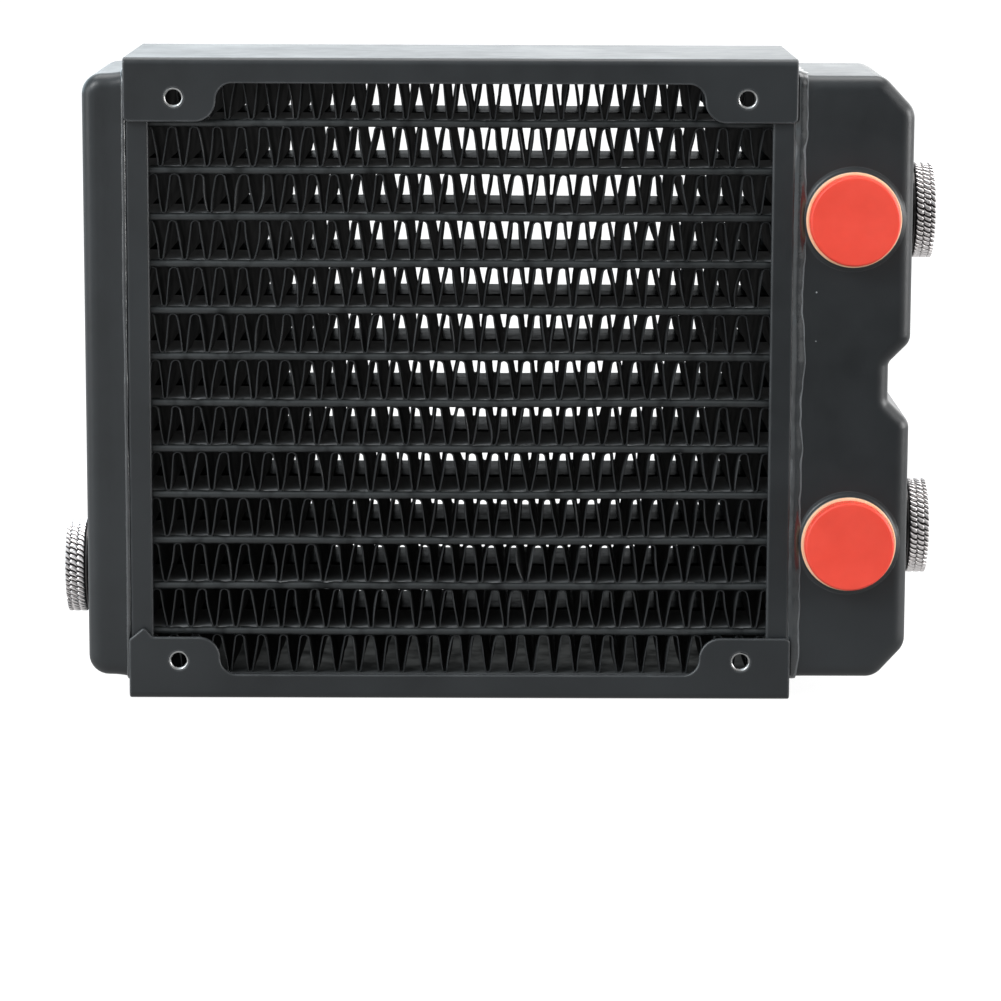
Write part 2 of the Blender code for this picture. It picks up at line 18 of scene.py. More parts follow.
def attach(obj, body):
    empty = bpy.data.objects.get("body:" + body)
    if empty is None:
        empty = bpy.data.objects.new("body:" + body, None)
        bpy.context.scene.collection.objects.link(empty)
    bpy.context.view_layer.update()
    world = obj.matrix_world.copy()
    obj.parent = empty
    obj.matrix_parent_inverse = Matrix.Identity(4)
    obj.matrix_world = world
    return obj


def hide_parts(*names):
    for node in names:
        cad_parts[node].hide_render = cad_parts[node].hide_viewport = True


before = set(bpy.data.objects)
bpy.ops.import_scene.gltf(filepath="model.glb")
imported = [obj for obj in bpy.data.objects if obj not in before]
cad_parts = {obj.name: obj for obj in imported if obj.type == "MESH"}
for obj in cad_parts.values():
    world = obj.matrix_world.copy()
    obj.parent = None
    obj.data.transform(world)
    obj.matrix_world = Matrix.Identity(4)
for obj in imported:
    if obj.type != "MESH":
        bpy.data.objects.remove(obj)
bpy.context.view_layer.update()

MM = 0.001

# Frame channels: folded sheet with a lug at each corner
FRAME_W, FRAME_H, DEPTH = 123.5, 119.5, 45.0
SHEET, BEND = 1.0, 1.3
HOLE_X, HOLE_Z, HOLE_R = 52.5, 7.25, 1.75  # fan holes; z is from the channel's outer face
CHANNEL_H = 14.5
RIM, LUG_H, LUG_FLAT, LUG_R_OUT, LUG_R_IN = 4.65, 11.7, 13.0, 4.0, 3.0

# Core: flat tubes with a folded fin strip above and below each
TUBES, TUBE_PITCH, TUBE_T, TUBE_WALL, TUBE_DEPTH = 12, 8.65, 1.4, 0.25, 38.0
TUBE_HALF_LENGTH = 63.4
CORE_Z = FRAME_H / 2
TUBE_Z = [CORE_Z + ((TUBES - 1) / 2 - i) * TUBE_PITCH for i in range(TUBES)]
FIN_DEPTH, FIN_HALF_T, FIN_HALF_LENGTH = 37.0, 0.145, 58.9

# Side rails, which are the folded rims of the tube plates
RAIL_OUT, RAIL_IN, RAIL_FRONT = 61.45, 57.25, 21.2

# Tanks
TANK_Y, TANK_LOW, TANK_HIGH, TANK_WALL, TANK_EDGE = 20.8, 3.8, 116.4, 1.0, 2.7
LEFT_X, RIGHT_X = -69.6, 83.5

# Ports: where each seat lies, and the way it faces
PORT_RISE = 0.8
PORT_X = 72.35
PORT_UPPER_Z, PORT_LOWER_Z = 90.15, 29.65
PORTS = {
    "front_upper": ((PORT_X, -TANK_Y - PORT_RISE, PORT_UPPER_Z), (0, -1, 0)),
    "front_lower": ((PORT_X, -TANK_Y - PORT_RISE, PORT_LOWER_Z), (0, -1, 0)),
    "end_upper": ((RIGHT_X + PORT_RISE, 0, 89.95), (1, 0, 0)),
    "end_lower": ((RIGHT_X + PORT_RISE, 0, 29.45), (1, 0, 0)),
    "left_end": ((LEFT_X - PORT_RISE, 0, 21.4), (-1, 0, 0)),
}
PIPE_PITCH = 25.4 / 19
FAN_PITCH = 25.4 / 32
THREAD_STEPS = 12  # rings in one pitch of thread
SHANK_ROOT, SHANK_RISE = 5.85, 0.60  # thread of the plugs and caps

# Knurled grip of the stop plugs
GRIP_R, KNURL_DEPTH = 8.98, 0.54

# Drawing planes: the flat outline's x, y and thickness become these axes
PLANE_XZ = Matrix(((1, 0, 0), (0, 0, -1), (0, 1, 0)))
PLANE_YZ = Matrix(((0, 0, 1), (1, 0, 0), (0, 1, 0)))
PLANE_XY = Matrix.Identity(3)


# ---------------------------------------------------------------- materials


class Graph:
    """A short way to write a node tree."""

    def __init__(self, tree):
        self.tree = tree

    def add(self, kind, inputs=None, **settings):
        node = self.tree.nodes.new(kind)
        for key, value in settings.items():
            setattr(node, key, value)
        for key, value in (inputs or {}).items():
            self.put(value, node.inputs[key])
        return node

    def put(self, value, socket):
        """Links a socket to this one, or sets its value."""
        if isinstance(value, bpy.types.NodeSocket):
            self.tree.links.new(value, socket)
        else:
            socket.default_value = value

    def math(self, operation, a, b=0.0):
        inputs = {0: a, 1: b, 2: 0.0}
        return self.add("ShaderNodeMath", inputs, operation=operation).outputs[0]

    def plus(self, a, b):
        return self.math("ADD", a, b)

    def times(self, first, *others):
        for other in others:
            first = self.math("MULTIPLY", first, other)
        return first

    def mix(self, factor, a, b):
        """Blends colour a into colour b."""
        inputs = {0: factor, 6: a, 7: b}
        return self.add("ShaderNodeMix", inputs, data_type="RGBA").outputs[2]

    def spread(self, value, over, to=(0.0, 1.0)):
        """Maps the range `over` onto the range `to`, held at both ends."""
        inputs = dict(enumerate((value, *over, *to)))
        return self.add("ShaderNodeMapRange", inputs, clamp=True).outputs[0]

    def noise(self, where, scale, detail=2.0, rough=0.5):
        inputs = {"Vector": where, "Scale": scale, "Detail": detail, "Roughness": rough}
        return self.add("ShaderNodeTexNoise", inputs).outputs[0]

    def bump(self, height, strength, distance, normal=None):
        inputs = {"Height": height, "Strength": strength, "Distance": distance}
        if normal is not None:
            inputs["Normal"] = normal
        return self.add("ShaderNodeBump", inputs).outputs[0]

    def where(self):
        """The place on the object, in metres."""
        return self.add("ShaderNodeTexCoord").outputs["Object"]

    def axis(self, where, letter):
        return self.add("ShaderNodeSeparateXYZ", {0: where}).outputs[letter]

    def camera_ray(self):
        return self.add("ShaderNodeLightPath").outputs["Is Camera Ray"]


def new_material(name):
    mat = bpy.data.materials.new(name)
    mat.use_nodes = True
    graph = Graph(mat.node_tree)
    return mat, graph, mat.node_tree.nodes["Principled BSDF"], graph.where()


def reopen(mat):
    """The graph, shader and base colour of a material that is to be changed further."""
    bsdf = mat.node_tree.nodes["Principled BSDF"]
    return Graph(mat.node_tree), bsdf, bsdf.inputs["Base Color"].links[0].from_socket


def rgb(r, g, b):
    return (r, g, b, 1.0)


def glow(g, bsdf, strength, colour=rgb(1.0, 1.0, 1.0)):
    g.put(colour, bsdf.inputs["Emission Color"])
    g.put(strength, bsdf.inputs["Emission Strength"])


def dust_specks(g, where, tone):
    """Sparse pale dots: one to a cell, in the cells whose random red is high enough."""
    inputs = {"Vector": where, "Scale": 150.0}
    cells = g.add("ShaderNodeTexVoronoi", inputs, feature="F1")
    tint = g.add("ShaderNodeSeparateColor", {0: cells.outputs["Color"]})
    size = g.spread(tint.outputs[1], over=(0.0, 1.0), to=(0.010, 0.032))
    dot = g.math("LESS_THAN", cells.outputs["Distance"], size)
    dot = g.times(dot, g.math("GREATER_THAN", tint.outputs[0], 0.72))
    return g.mix(g.times(dot, 0.75), tone, rgb(0.42, 0.43, 0.44))


def pale_edges_and_highlight(g, tone, cloud):
    """Paler colour on sharp edges, where a rounded normal strays from the real one: partly wear
    of the paint, partly a painted highlight along the edges.
    """
    rounded = g.add("ShaderNodeBevel", {"Radius": 0.00042}, samples=4).outputs[0]
    flat = g.add("ShaderNodeNewGeometry").outputs["Normal"]
    bend = g.add("ShaderNodeVectorMath", {0: rounded, 1: flat}, operation="DOT_PRODUCT")
    bend = g.spread(bend.outputs["Value"], over=(0.990, 0.930))
    thin = g.times(bend, g.spread(cloud, over=(0.30, 0.60), to=(0.50, 1.0)))
    return g.mix(thin, tone, rgb(0.150, 0.155, 0.160))


def black_paint(name, colour, roughness, dust_and_edge_highlight=True, peel=1.0, specular=0.5):
    """Satin paint: orange peel and slow unevenness; on request also dust specks, and pale edges
    that are partly wear and partly a painted highlight.
    """
    mat, g, bsdf, where = new_material(name)
    slow = g.noise(where, scale=38, detail=3)
    medium = g.noise(where, scale=210, detail=3, rough=0.6)
    orange = g.noise(where, scale=1150, detail=2, rough=0.55)
    grain = g.noise(where, scale=5200, detail=1)
    light = rgb(*(min(1.0, c * 1.36) for c in colour))
    dark = rgb(*(c * 0.74 for c in colour))
    tone = g.mix(g.spread(slow, over=(0.3, 0.7)), dark, light)
    tone = g.mix(g.spread(medium, over=(0.35, 0.75), to=(0.0, 0.35)), tone, light)
    rough = g.plus(
        g.spread(slow, over=(0.3, 0.7), to=(roughness - 0.035, roughness + 0.035)),
        g.spread(medium, over=(0.3, 0.7), to=(-0.02, 0.03)),
    )
    if dust_and_edge_highlight:
        # dust specks, and pale edges: partly wear, partly a painted edge highlight
        tone = pale_edges_and_highlight(g, dust_specks(g, where, tone), medium)
    g.put(tone, bsdf.inputs["Base Color"])
    g.put(rough, bsdf.inputs["Roughness"])
    bsdf.inputs["Specular IOR Level"].default_value = specular
    normal = g.bump(orange, strength=0.30 * peel, distance=0.00006)
    normal = g.bump(medium, strength=0.22 * peel, distance=0.00018, normal=normal)
    normal = g.bump(grain, strength=0.10 * peel, distance=0.00002, normal=normal)
    g.put(normal, bsdf.inputs["Normal"])
    return mat


def bare_metal(name, colour, roughness):
    """Plated or cut metal with a fine grain, uneven shine and slight tarnish."""
    mat, g, bsdf, where = new_material(name)
    bsdf.inputs["Metallic"].default_value = 1.0
    cloud = g.noise(where, scale=420, detail=3)
    fine = g.noise(where, scale=4200, detail=2)
    dirt = g.noise(where, scale=1300, detail=4, rough=0.65)
    dull = rgb(*(c * 0.62 for c in colour))
    tone = g.mix(g.spread(dirt, over=(0.52, 0.75), to=(0.0, 0.6)), rgb(*colour), dull)
    rough = g.spread(cloud, over=(0.3, 0.7), to=(roughness - 0.05, roughness + 0.09))
    g.put(tone, bsdf.inputs["Base Color"])
    g.put(rough, bsdf.inputs["Roughness"])
    g.put(g.bump(fine, strength=0.25, distance=0.00001), bsdf.inputs["Normal"])
    return mat


def moulded(name, colour, deep, roughness, subsurface, radius):
    """Moulded soft plastic: a little light goes in, faint flow marks, a fine matt grain."""
    mat, g, bsdf, where = new_material(name)
    flow = g.noise(where, scale=160, detail=3)
    grain = g.noise(where, scale=3600, detail=2)
    tone = g.mix(g.spread(flow, over=(0.3, 0.7)), rgb(*colour), rgb(*deep))
    rough = g.spread(flow, over=(0.3, 0.7), to=(roughness - 0.04, roughness + 0.05))
    g.put(tone, bsdf.inputs["Base Color"])
    g.put(rough, bsdf.inputs["Roughness"])
    bsdf.inputs["Subsurface Weight"].default_value = subsurface
    bsdf.inputs["Subsurface Radius"].default_value = radius
    bsdf.inputs["Subsurface Scale"].default_value = 0.0012
    normal = g.bump(grain, strength=0.22, distance=0.00002)
    normal = g.bump(flow, strength=0.12, distance=0.0002, normal=normal)
    g.put(normal, bsdf.inputs["Normal"])
    return mat


def seal_rubber():
    mat, g, bsdf, where = new_material("seal_rubber")
    cloud = g.noise(where, scale=900, detail=3)
    tone = g.mix(cloud, rgb(0.010, 0.010, 0.010), rgb(0.022, 0.022, 0.022))
    rough = g.spread(g.noise(where, scale=300, detail=2), over=(0.3, 0.7), to=(0.55, 0.72))
    grain = g.noise(where, scale=5200, detail=2)
    g.put(tone, bsdf.inputs["Base Color"])
    g.put(rough, bsdf.inputs["Roughness"])
    g.put(g.bump(grain, strength=0.3, distance=0.00002), bsdf.inputs["Normal"])
    return mat


def stray_light(mat, level):
    """A painted glow and a paler base deep inside the core, standing in for the faint light
    between the fin folds: weaker towards the bottom rows, and the base near black at the front
    and rear edges.
    """
    g, bsdf, tone = reopen(mat)
    where = g.where()
    from_middle = g.math("ABSOLUTE", g.axis(where, "Y"))
    within = g.spread(from_middle, over=(0.0175, 0.0090), to=(0.15, 1.0))
    patch = g.noise(where, scale=240, detail=3, rough=0.6)
    patch = g.spread(patch, over=(0.35, 0.65), to=(0.55, 1.45))
    height = g.spread(g.axis(where, "Z"), over=(0.022, 0.085), to=(0.12, 1.0))
    glow(g, bsdf, g.times(within, g.times(patch, height), level))
    tone = g.mix(within, rgb(0.0180, 0.0185, 0.0190), tone)
    g.put(tone, bsdf.inputs["Base Color"])


def deep_core(mat):
    """The tubes inside the core: the paint's own colour at the front edge, and blended in part
    towards the rear.

    Between them the front half is pale, dull and faintly glowing, painted light for the dim light
    deep in the core and weaker towards the bottom; the rear half is painted dark as shade.
    """
    g, bsdf, tone = reopen(mat)
    where = g.where()
    depth = g.axis(where, "Y")
    wander = g.math("SUBTRACT", g.noise(where, scale=260, detail=3), 0.5)
    depth = g.plus(depth, g.times(wander, 0.004))
    front = g.spread(depth, over=(-0.0189, -0.0176), to=(1.0, 0.0))
    rear = g.plus(
        g.spread(depth, over=(0.0010, 0.0026), to=(0.0, 0.30)),
        g.spread(depth, over=(0.0075, 0.0110), to=(0.0, 0.45)),
    )
    patch = g.noise(where, scale=620, detail=3, rough=0.6)
    patch = g.spread(patch, over=(0.35, 0.65), to=(0.45, 1.5))
    # the sheen is half at the front edge and a trace at the rear
    shine = g.math("MAXIMUM", g.times(front, 0.5), g.times(rear, patch, 0.0016))
    g.put(shine, bsdf.inputs["Specular IOR Level"])
    reach = g.math("MAXIMUM", front, rear)
    front_half = g.times(
        g.spread(depth, over=(-0.0012, -0.0004), to=(1.0, 0.0)),
        g.spread(reach, over=(0.0, 0.1), to=(1.0, 0.0)),
    )
    # painted light in the front half, painted shade in the rear half
    inside = g.mix(front_half, rgb(0.0030, 0.0030, 0.0030), rgb(0.2300, 0.2320, 0.2340))
    g.put(g.mix(reach, inside, tone), bsdf.inputs["Base Color"])
    within = g.times(front_half, g.spread(depth, over=(-0.0178, -0.0140)))
    height = g.spread(g.axis(where, "Z"), over=(0.022, 0.085), to=(0.10, 1.0))
    within = g.times(within, g.times(patch, height))
    glow(g, bsdf, g.times(within, 0.0085))


def lit_side_plate(mat):
    """Painted shade that darkens the side plates to the rear, and a faint patchy painted glow,
    weaker at the left end, for the light from the front.
    """
    g, bsdf, tone = reopen(mat)
    depth = g.axis(g.where(), "Y")
    tone = g.mix(g.spread(depth, over=(-0.006, 0.004)), tone, rgb(0.0120, 0.0122, 0.0125))
    g.put(tone, bsdf.inputs["Base Color"])
    where = g.where()
    light = g.times(
        g.spread(depth, over=(-0.0180, -0.0080), to=(0.15, 1.0)),
        g.spread(g.axis(where, "X"), over=(-0.052, -0.030), to=(0.05, 1.0)),
    )
    patch = g.noise(where, scale=160, detail=3, rough=0.6)
    patch = g.spread(patch, over=(0.35, 0.65), to=(0.35, 1.4))
    glow(g, bsdf, g.times(light, patch, 0.030), colour=rgb(0.95, 1.0, 1.0))


def painted_groove_shade(mat, low, high):
    """Painted shade in the hollows of the plug's knurl and neck, in its socket and on its outer
    face, by the depth stored on the mesh.
    """
    g, bsdf, tone = reopen(mat)
    depth = g.add("ShaderNodeAttribute", attribute_name="groove").outputs["Fac"]
    hollow = g.spread(depth, over=(low, high), to=(0.0, 0.93))
    g.put(g.mix(hollow, tone, rgb(0.012, 0.010, 0.010)), bsdf.inputs["Base Color"])


PAINT = black_paint("satin_black_paint", colour=(0.0142, 0.0160, 0.0174), roughness=0.37)
TUBE_PAINT = black_paint(
    "tube_black_paint", colour=(0.0165, 0.0185, 0.0190), roughness=0.36, peel=1.2
)
SOLDER_PAINT = black_paint(
    "solder_black_paint",
    colour=(0.0180, 0.0200, 0.0215), roughness=0.20, peel=1.6, specular=1.1,
)
# a pale grey base for black fins: painted light, for the dim light deep in the core
FIN_PAINT = black_paint(
    "fin_black_paint",
    colour=(0.1300, 0.1310, 0.1320), roughness=0.60, dust_and_edge_highlight=False, peel=0.8, specular=0.0,
)
stray_light(FIN_PAINT, level=0.0062)
FIN_EDGE_PAINT = black_paint(
    "fin_edge_paint", colour=(0.0170, 0.0180, 0.0190), roughness=0.38, dust_and_edge_highlight=False
)
deep_core(TUBE_PAINT)
# a pale grey base for black side plates: painted light, for their front half lit from the front
PLATE_PAINT = black_paint(
    "side_plate_paint",
    colour=(0.0420, 0.0440, 0.0450), roughness=0.60, dust_and_edge_highlight=False, peel=0.8, specular=0.0,
)
lit_side_plate(PLATE_PAINT)
STEEL = bare_metal("cut_steel_thread", colour=(0.46, 0.46, 0.455), roughness=0.27)
CHROME = bare_metal("knurled_chrome", colour=(0.88, 0.84, 0.83), roughness=0.28)
BRASS = bare_metal("bare_brass", colour=(0.72, 0.50, 0.20), roughness=0.28)
# painted shade in the plugs' hollows, socket and outer face
painted_groove_shade(CHROME, low=0.42, high=0.88)
RUBBER = seal_rubber()
RED = moulded(
    "cap_red_plastic",
    colour=(0.92, 0.083, 0.050), deep=(0.84, 0.064, 0.035),
    roughness=0.42, subsurface=0.25, radius=(1.0, 0.25, 0.12),
)
PEACH = moulded(
    "cap_washer_silicone",
    colour=(0.93, 0.60, 0.40), deep=(0.90, 0.50, 0.30),
    roughness=0.45, subsurface=0.35, radius=(1.0, 0.5, 0.3),
)


# ---------------------------------------------------------------- outlines


def filleted(corners, steps=4):
    """The points of a closed outline whose corners (x, y, radius) are rounded."""
    points = []
    count = len(corners)
    for i, (x, y, radius) in enumerate(corners):
        here = Vector((x, y))
        before = Vector(corners[i - 1][:2]) - here
        after = Vector(corners[(i + 1) % count][:2]) - here
        if radius <= 0:
            points.append(here)
            continue
        before.normalize()
        after.normalize()
        half = math.acos(max(-1.0, min(1.0, before.dot(after)))) / 2
        centre = here + (before + after).normalized() * (radius / math.sin(half))
        start = here + before * (radius / math.tan(half)) - centre
        turn = math.pi - 2 * half
        if before.x * after.y - before.y * after.x > 0:
            turn = -turn
        for k in range(steps + 1):
            angle = turn * k / steps
            cos, sin = math.cos(angle), math.sin(angle)
            offset = Vector((start.x * cos - start.y * sin, start.x * sin + start.y * cos))
            points.append(centre + offset)
    return [tuple(p) for p in points]


def inset(corners, distance):
    """The same corners moved inward, with their radii changed to match."""
    moved = []
    count = len(corners)
    for i, (x, y, radius) in enumerate(corners):
        here = Vector((x, y))
        along_in = (here - Vector(corners[i - 1][:2])).normalized()
        along_out = (Vector(corners[(i + 1) % count][:2]) - here).normalized()
        normal_in = Vector((-along_in.y, along_in.x))
        normal_out = Vector((-along_out.y, along_out.x))
        mitre = (normal_in + normal_out) / (1 + normal_in.dot(normal_out))
        convex = along_in.x * along_out.y - along_in.y * along_out.x > 0
        spot = here + mitre * distance
        moved.append((spot.x, spot.y, radius - distance if convex else radius + distance))
    return moved


def distinct(points, least=1e-4):
    """Drops points closer than this to the one before, round a closed outline."""
    kept = []
    for p in points:
        if not kept or (Vector(p) - Vector(kept[-1])).length > least:
            kept.append(p)
    if (Vector(kept[0]) - Vector(kept[-1])).length <= least:
        kept.pop()
    return kept


def stadium(y0, y1, z0, z1):
    """A slot outline with round ends."""
    r = (z1 - z0) / 2
    return distinct(filleted([(y0, z0, r), (y1, z0, r), (y1, z1, r), (y0, z1, r)], 5))


def headings(line, closed=True):
    """Unit directions along a line of points."""
    ahead = np.roll(line, -1, 0) - np.roll(line, 1, 0)
    if not closed:
        ahead[0], ahead[-1] = line[1] - line[0], line[-1] - line[-2]
    return ahead / np.linalg.norm(ahead, axis=1)[:, None]


def dense_path(outline, step):
    """Points about a step apart round a closed outline, and their outward directions."""
    dense = []
    for k, p in enumerate(outline):
        q = outline[(k + 1) % len(outline)]
        n = max(1, int(math.hypot(q[0] - p[0], q[1] - p[1]) / step))
        dense += [
            (p[0] + (q[0] - p[0]) * j / n, p[1] + (q[1] - p[1]) * j / n) for j in range(n)
        ]
    line = np.array(distinct(dense, 1e-3))
    ahead = headings(line)
    return line, np.stack([ahead[:, 1], -ahead[:, 0]], 1)


def wave(*where):
    """Smooth seeded unevenness between about -1 and 1."""
    return noise.noise(Vector(where))


# ---------------------------------------------------------------- mesh tools


@contextmanager
def editing(mesh):
    bm = bmesh.new()
    bm.from_mesh(mesh)
    yield bm
    bm.to_mesh(mesh)
    bm.free()


def link_object(name, mesh):
    obj = bpy.data.objects.new(name, mesh)
    bpy.context.scene.collection.objects.link(obj)
    return obj


def finish_shading(mesh, sharp_deg):
    mesh.shade_smooth()
    mesh.set_sharp_from_angle(angle=math.radians(sharp_deg))


def ring_faces(rings, sides, start=0, closed=True):
    """Quads between successive rings of points, and from the last to the first if closed."""
    faces = []
    for ring in range(rings if closed else rings - 1):
        a = start + ring * sides
        b = start + (ring + 1) % rings * sides
        for i in range(sides):
            j = (i + 1) % sides
            faces.append((a + i, a + j, b + j, b + i))
    return faces


def raw_mesh(name, points, faces, mats, which=None, sharp_deg=35):
    """An object from points and faces; `which` gives each face's material number."""
    mesh = bpy.data.meshes.new(name)
    mesh.from_pydata((np.asarray(points, float) * MM).tolist(), [], faces)
    for mat in mats:
        mesh.materials.append(mat)
    if which is not None:
        mesh.polygons.foreach_set("material_index", np.asarray(which, np.int32))
    with editing(mesh) as bm:
        bmesh.ops.remove_doubles(bm, verts=bm.verts, dist=1e-8)
        bmesh.ops.dissolve_degenerate(bm, edges=bm.edges, dist=1e-8)
        bmesh.ops.recalc_face_normals(bm, faces=bm.faces)
    mesh.update()
    finish_shading(mesh, sharp_deg)
    return link_object(name, mesh)


def clean(mesh, angle=0.6, merge=2e-6):
    """Merges close points (metres) and dissolves edges flatter than the angle (degrees)."""
    with editing(mesh) as bm:
        bmesh.ops.remove_doubles(bm, verts=bm.verts, dist=merge)
        bmesh.ops.dissolve_limit(
            bm, angle_limit=math.radians(angle), verts=bm.verts, edges=bm.edges
        )
        bmesh.ops.recalc_face_normals(bm, faces=bm.faces)


def plate(name, outlines, half, plane, centre=(0, 0, 0)):
    """A flat piece from closed outlines, extruded half each way."""
    curve = bpy.data.curves.new(name, "CURVE")
    curve.dimensions = "2D"
    curve.fill_mode = "BOTH"
    curve.extrude = half * MM
    for points in outlines:
        spline = curve.splines.new("POLY")
        spline.points.add(len(points) - 1)
        for slot, p in zip(spline.points, points):
            slot.co = (p[0] * MM, p[1] * MM, 0, 1)
        spline.use_cyclic_u = True
    drawn = link_object(name + "_outline", curve)
    bpy.context.view_layer.update()
    graph = bpy.context.evaluated_depsgraph_get()
    mesh = bpy.data.meshes.new_from_object(drawn.evaluated_get(graph))
    mesh.name = name
    bpy.data.objects.remove(drawn, do_unlink=True)
    bpy.data.curves.remove(curve)
    mesh.transform(Matrix.Translation(Vector(centre) * MM) @ plane.to_4x4())
    clean(mesh, angle=0.5, merge=1e-6)
    return link_object(name, mesh)


def rod(name, radius, start, end, sides):
    start, end = Vector(start), Vector(end)
    mesh = bpy.data.meshes.new(name)
    with editing(mesh) as bm:
        bmesh.ops.create_cone(
            bm,
            cap_ends=True,
            segments=sides,
            radius1=radius * MM,
            radius2=radius * MM,
            depth=(end - start).length * MM,
        )
    turn = Vector((0, 0, 1)).rotation_difference((end - start).normalized())
    mesh.transform(Matrix.Translation((start + end) / 2 * MM) @ turn.to_matrix().to_4x4())
    return link_object(name, mesh)


def block(name, low, high):
    size = [(h - l) * MM for l, h in zip(low, high)]
    middle = [(h + l) / 2 * MM for l, h in zip(low, high)]
    mesh = bpy.data.meshes.new(name)
    with editing(mesh) as bm:
        bmesh.ops.create_cube(bm, size=1.0)
        bmesh.ops.scale(bm, vec=size, verts=bm.verts)
        bmesh.ops.translate(bm, vec=middle, verts=bm.verts)
    return link_object(name, mesh)


def bake(obj):
    """Applies the modifiers by taking the evaluated mesh."""
    bpy.context.view_layer.update()
    graph = bpy.context.evaluated_depsgraph_get()
    mesh = bpy.data.meshes.new_from_object(obj.evaluated_get(graph))
    obj.modifiers.clear()
    old = obj.data
    obj.data = mesh
    bpy.data.meshes.remove(old)


def soften(obj, width, segments, limit_deg=60):
    """Rounds the edges sharper than the limit."""
    bevel = obj.modifiers.new("Soften", "BEVEL")
    bevel.width = width * MM
    bevel.segments = segments
    bevel.limit_method = "ANGLE"
    bevel.angle_limit = math.radians(limit_deg)
    bevel.use_clamp_overlap = False
    bevel.miter_outer = "MITER_ARC"
    bake(obj)


def cut(obj, *cutters):
    for cutter in cutters:
        boolean = obj.modifiers.new("Cut", "BOOLEAN")
        boolean.operation = "DIFFERENCE"
        boolean.solver = "EXACT"
        boolean.object = cutter
    bake(obj)
    for cutter in cutters:
        bpy.data.objects.remove(cutter, do_unlink=True)


def slice_mesh(obj, axis, places):
    """Adds edges across the mesh at these places along an axis, so that it can bend there."""
    normal = Vector((0, 0, 0))
    normal[axis] = 1.0
    with editing(obj.data) as bm:
        for place in places:
            spot = [0.0, 0.0, 0.0]
            spot[axis] = place * MM
            bmesh.ops.bisect_plane(
                bm,
                geom=bm.verts[:] + bm.edges[:] + bm.faces[:],
                plane_co=spot,
                plane_no=normal,
                dist=1e-7,
            )


def read_points(obj):
    """The mesh's points as rows, in metres."""
    points = np.empty(len(obj.data.vertices) * 3)
    obj.data.vertices.foreach_get("co", points)
    return points.reshape(-1, 3)


def write_points(obj, points):
    obj.data.vertices.foreach_set("co", points.ravel())


def dress(obj, mat, sharp_deg=42):
    obj.data.materials.clear()
    obj.data.materials.append(mat)
    finish_shading(obj.data, sharp_deg)
    even = obj.modifiers.new("Even", "WEIGHTED_NORMAL")
    even.keep_sharp = True
    even.weight = 60


def keep(obj, body, node=None):
    """Tells the frame what the piece moves with, and hides the CAD piece it replaces."""
    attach(obj, body)
    if node:
        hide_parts(node)


# ---------------------------------------------------------------- turned parts
# A profile is a list of rings (radius, height above the port's seat). A radius may
# also be a function of the angle and the height.


def thread_share(theta, s):
    """0 in the valley and 1 on the ridge of the pipe thread, on the helix plug and port share."""
    return 0.5 * (1 + np.cos(2 * math.pi * (s / PIPE_PITCH) - theta))


def shank_thread(tip, neck):
    """The outer thread of a shank, fading out towards its tip and its neck."""

    def radius(theta, s):
        fade = max(0.0, min(1.0, (s - tip) / 0.7, (neck - s) / 0.6))
        return SHANK_ROOT + SHANK_RISE * thread_share(theta, s) * fade

    return radius


def hexagon(flats, theta):
    """The radius of a hexagon this far across its flats."""
    wedge = (theta % (math.pi / 3)) - math.pi / 6
    return flats / 2 / np.cos(wedge)


def knurl(theta, s, teeth, low, width, columns):
    """Height 0 to 1 of a rope knurl: columns of curved round beads, each staggered."""
    place = min(columns - 1e-6, max(0.0, (s - low) / width))
    column = int(place)
    x = 2 * (place - column) - 1
    turn = theta * teeth / (2 * math.pi) - 0.29 * column - 0.31 * x + 0.14 * x * x
    # slight unevenness round the rim
    turn = turn + 0.08 * np.sin(7 * theta + column) + 0.06 * np.sin(13 * theta + 2 * column)
    across = np.abs(2 * (turn - np.floor(turn)) - 1) / 0.80
    return (1 - 0.30 * abs(x) ** 5) * np.sqrt(np.maximum(0.0, 1 - across**2.6))


def turned(
    name, rings, sides, spot, axis, mats,
    closed=False, sharp_deg=35, bare_from=math.inf, reshape=None,
):
    """A part turned on a lathe; rings numbered from `bare_from` up take the second material."""
    out = Vector(axis)
    first = Vector((1, 0, 0)) if abs(out.y) > 0.5 else Vector((0, out.x, 0))
    second = out.cross(first)
    theta = np.arange(sides) * 2 * math.pi / sides
    points = np.zeros((len(rings), sides, 3))
    for k, (radius, s) in enumerate(rings):
        r = radius(theta, s) if callable(radius) else np.full(sides, float(radius))
        points[k] = (
            np.array(spot)
            + np.outer(r * np.cos(theta), np.array(first))
            + np.outer(r * np.sin(theta), np.array(second))
            + np.outer(np.full(sides, float(s)), np.array(out))
        )
        if reshape is not None:
            points[k] = reshape(points[k], k)
    faces = ring_faces(len(rings), sides, closed=closed)
    which = [int(face[3] // sides >= bare_from) for face in faces]
    return raw_mesh(name, points.reshape(-1, 3), faces, mats, which, sharp_deg)


def arc(cx, cy, radius, from_deg, to_deg, steps):
    angles = [math.radians(from_deg + (to_deg - from_deg) * k / steps) for k in range(steps + 1)]
    return [(cx + radius * math.cos(a), cy + radius * math.sin(a)) for a in angles]


def run(radius, low, high, step):
    """Rings of one radius, or radius function, evenly spaced from low to high."""
    n = max(1, int(round(abs(high - low) / step)))
    return [(radius, low + (high - low) * k / n) for k in range(n + 1)]


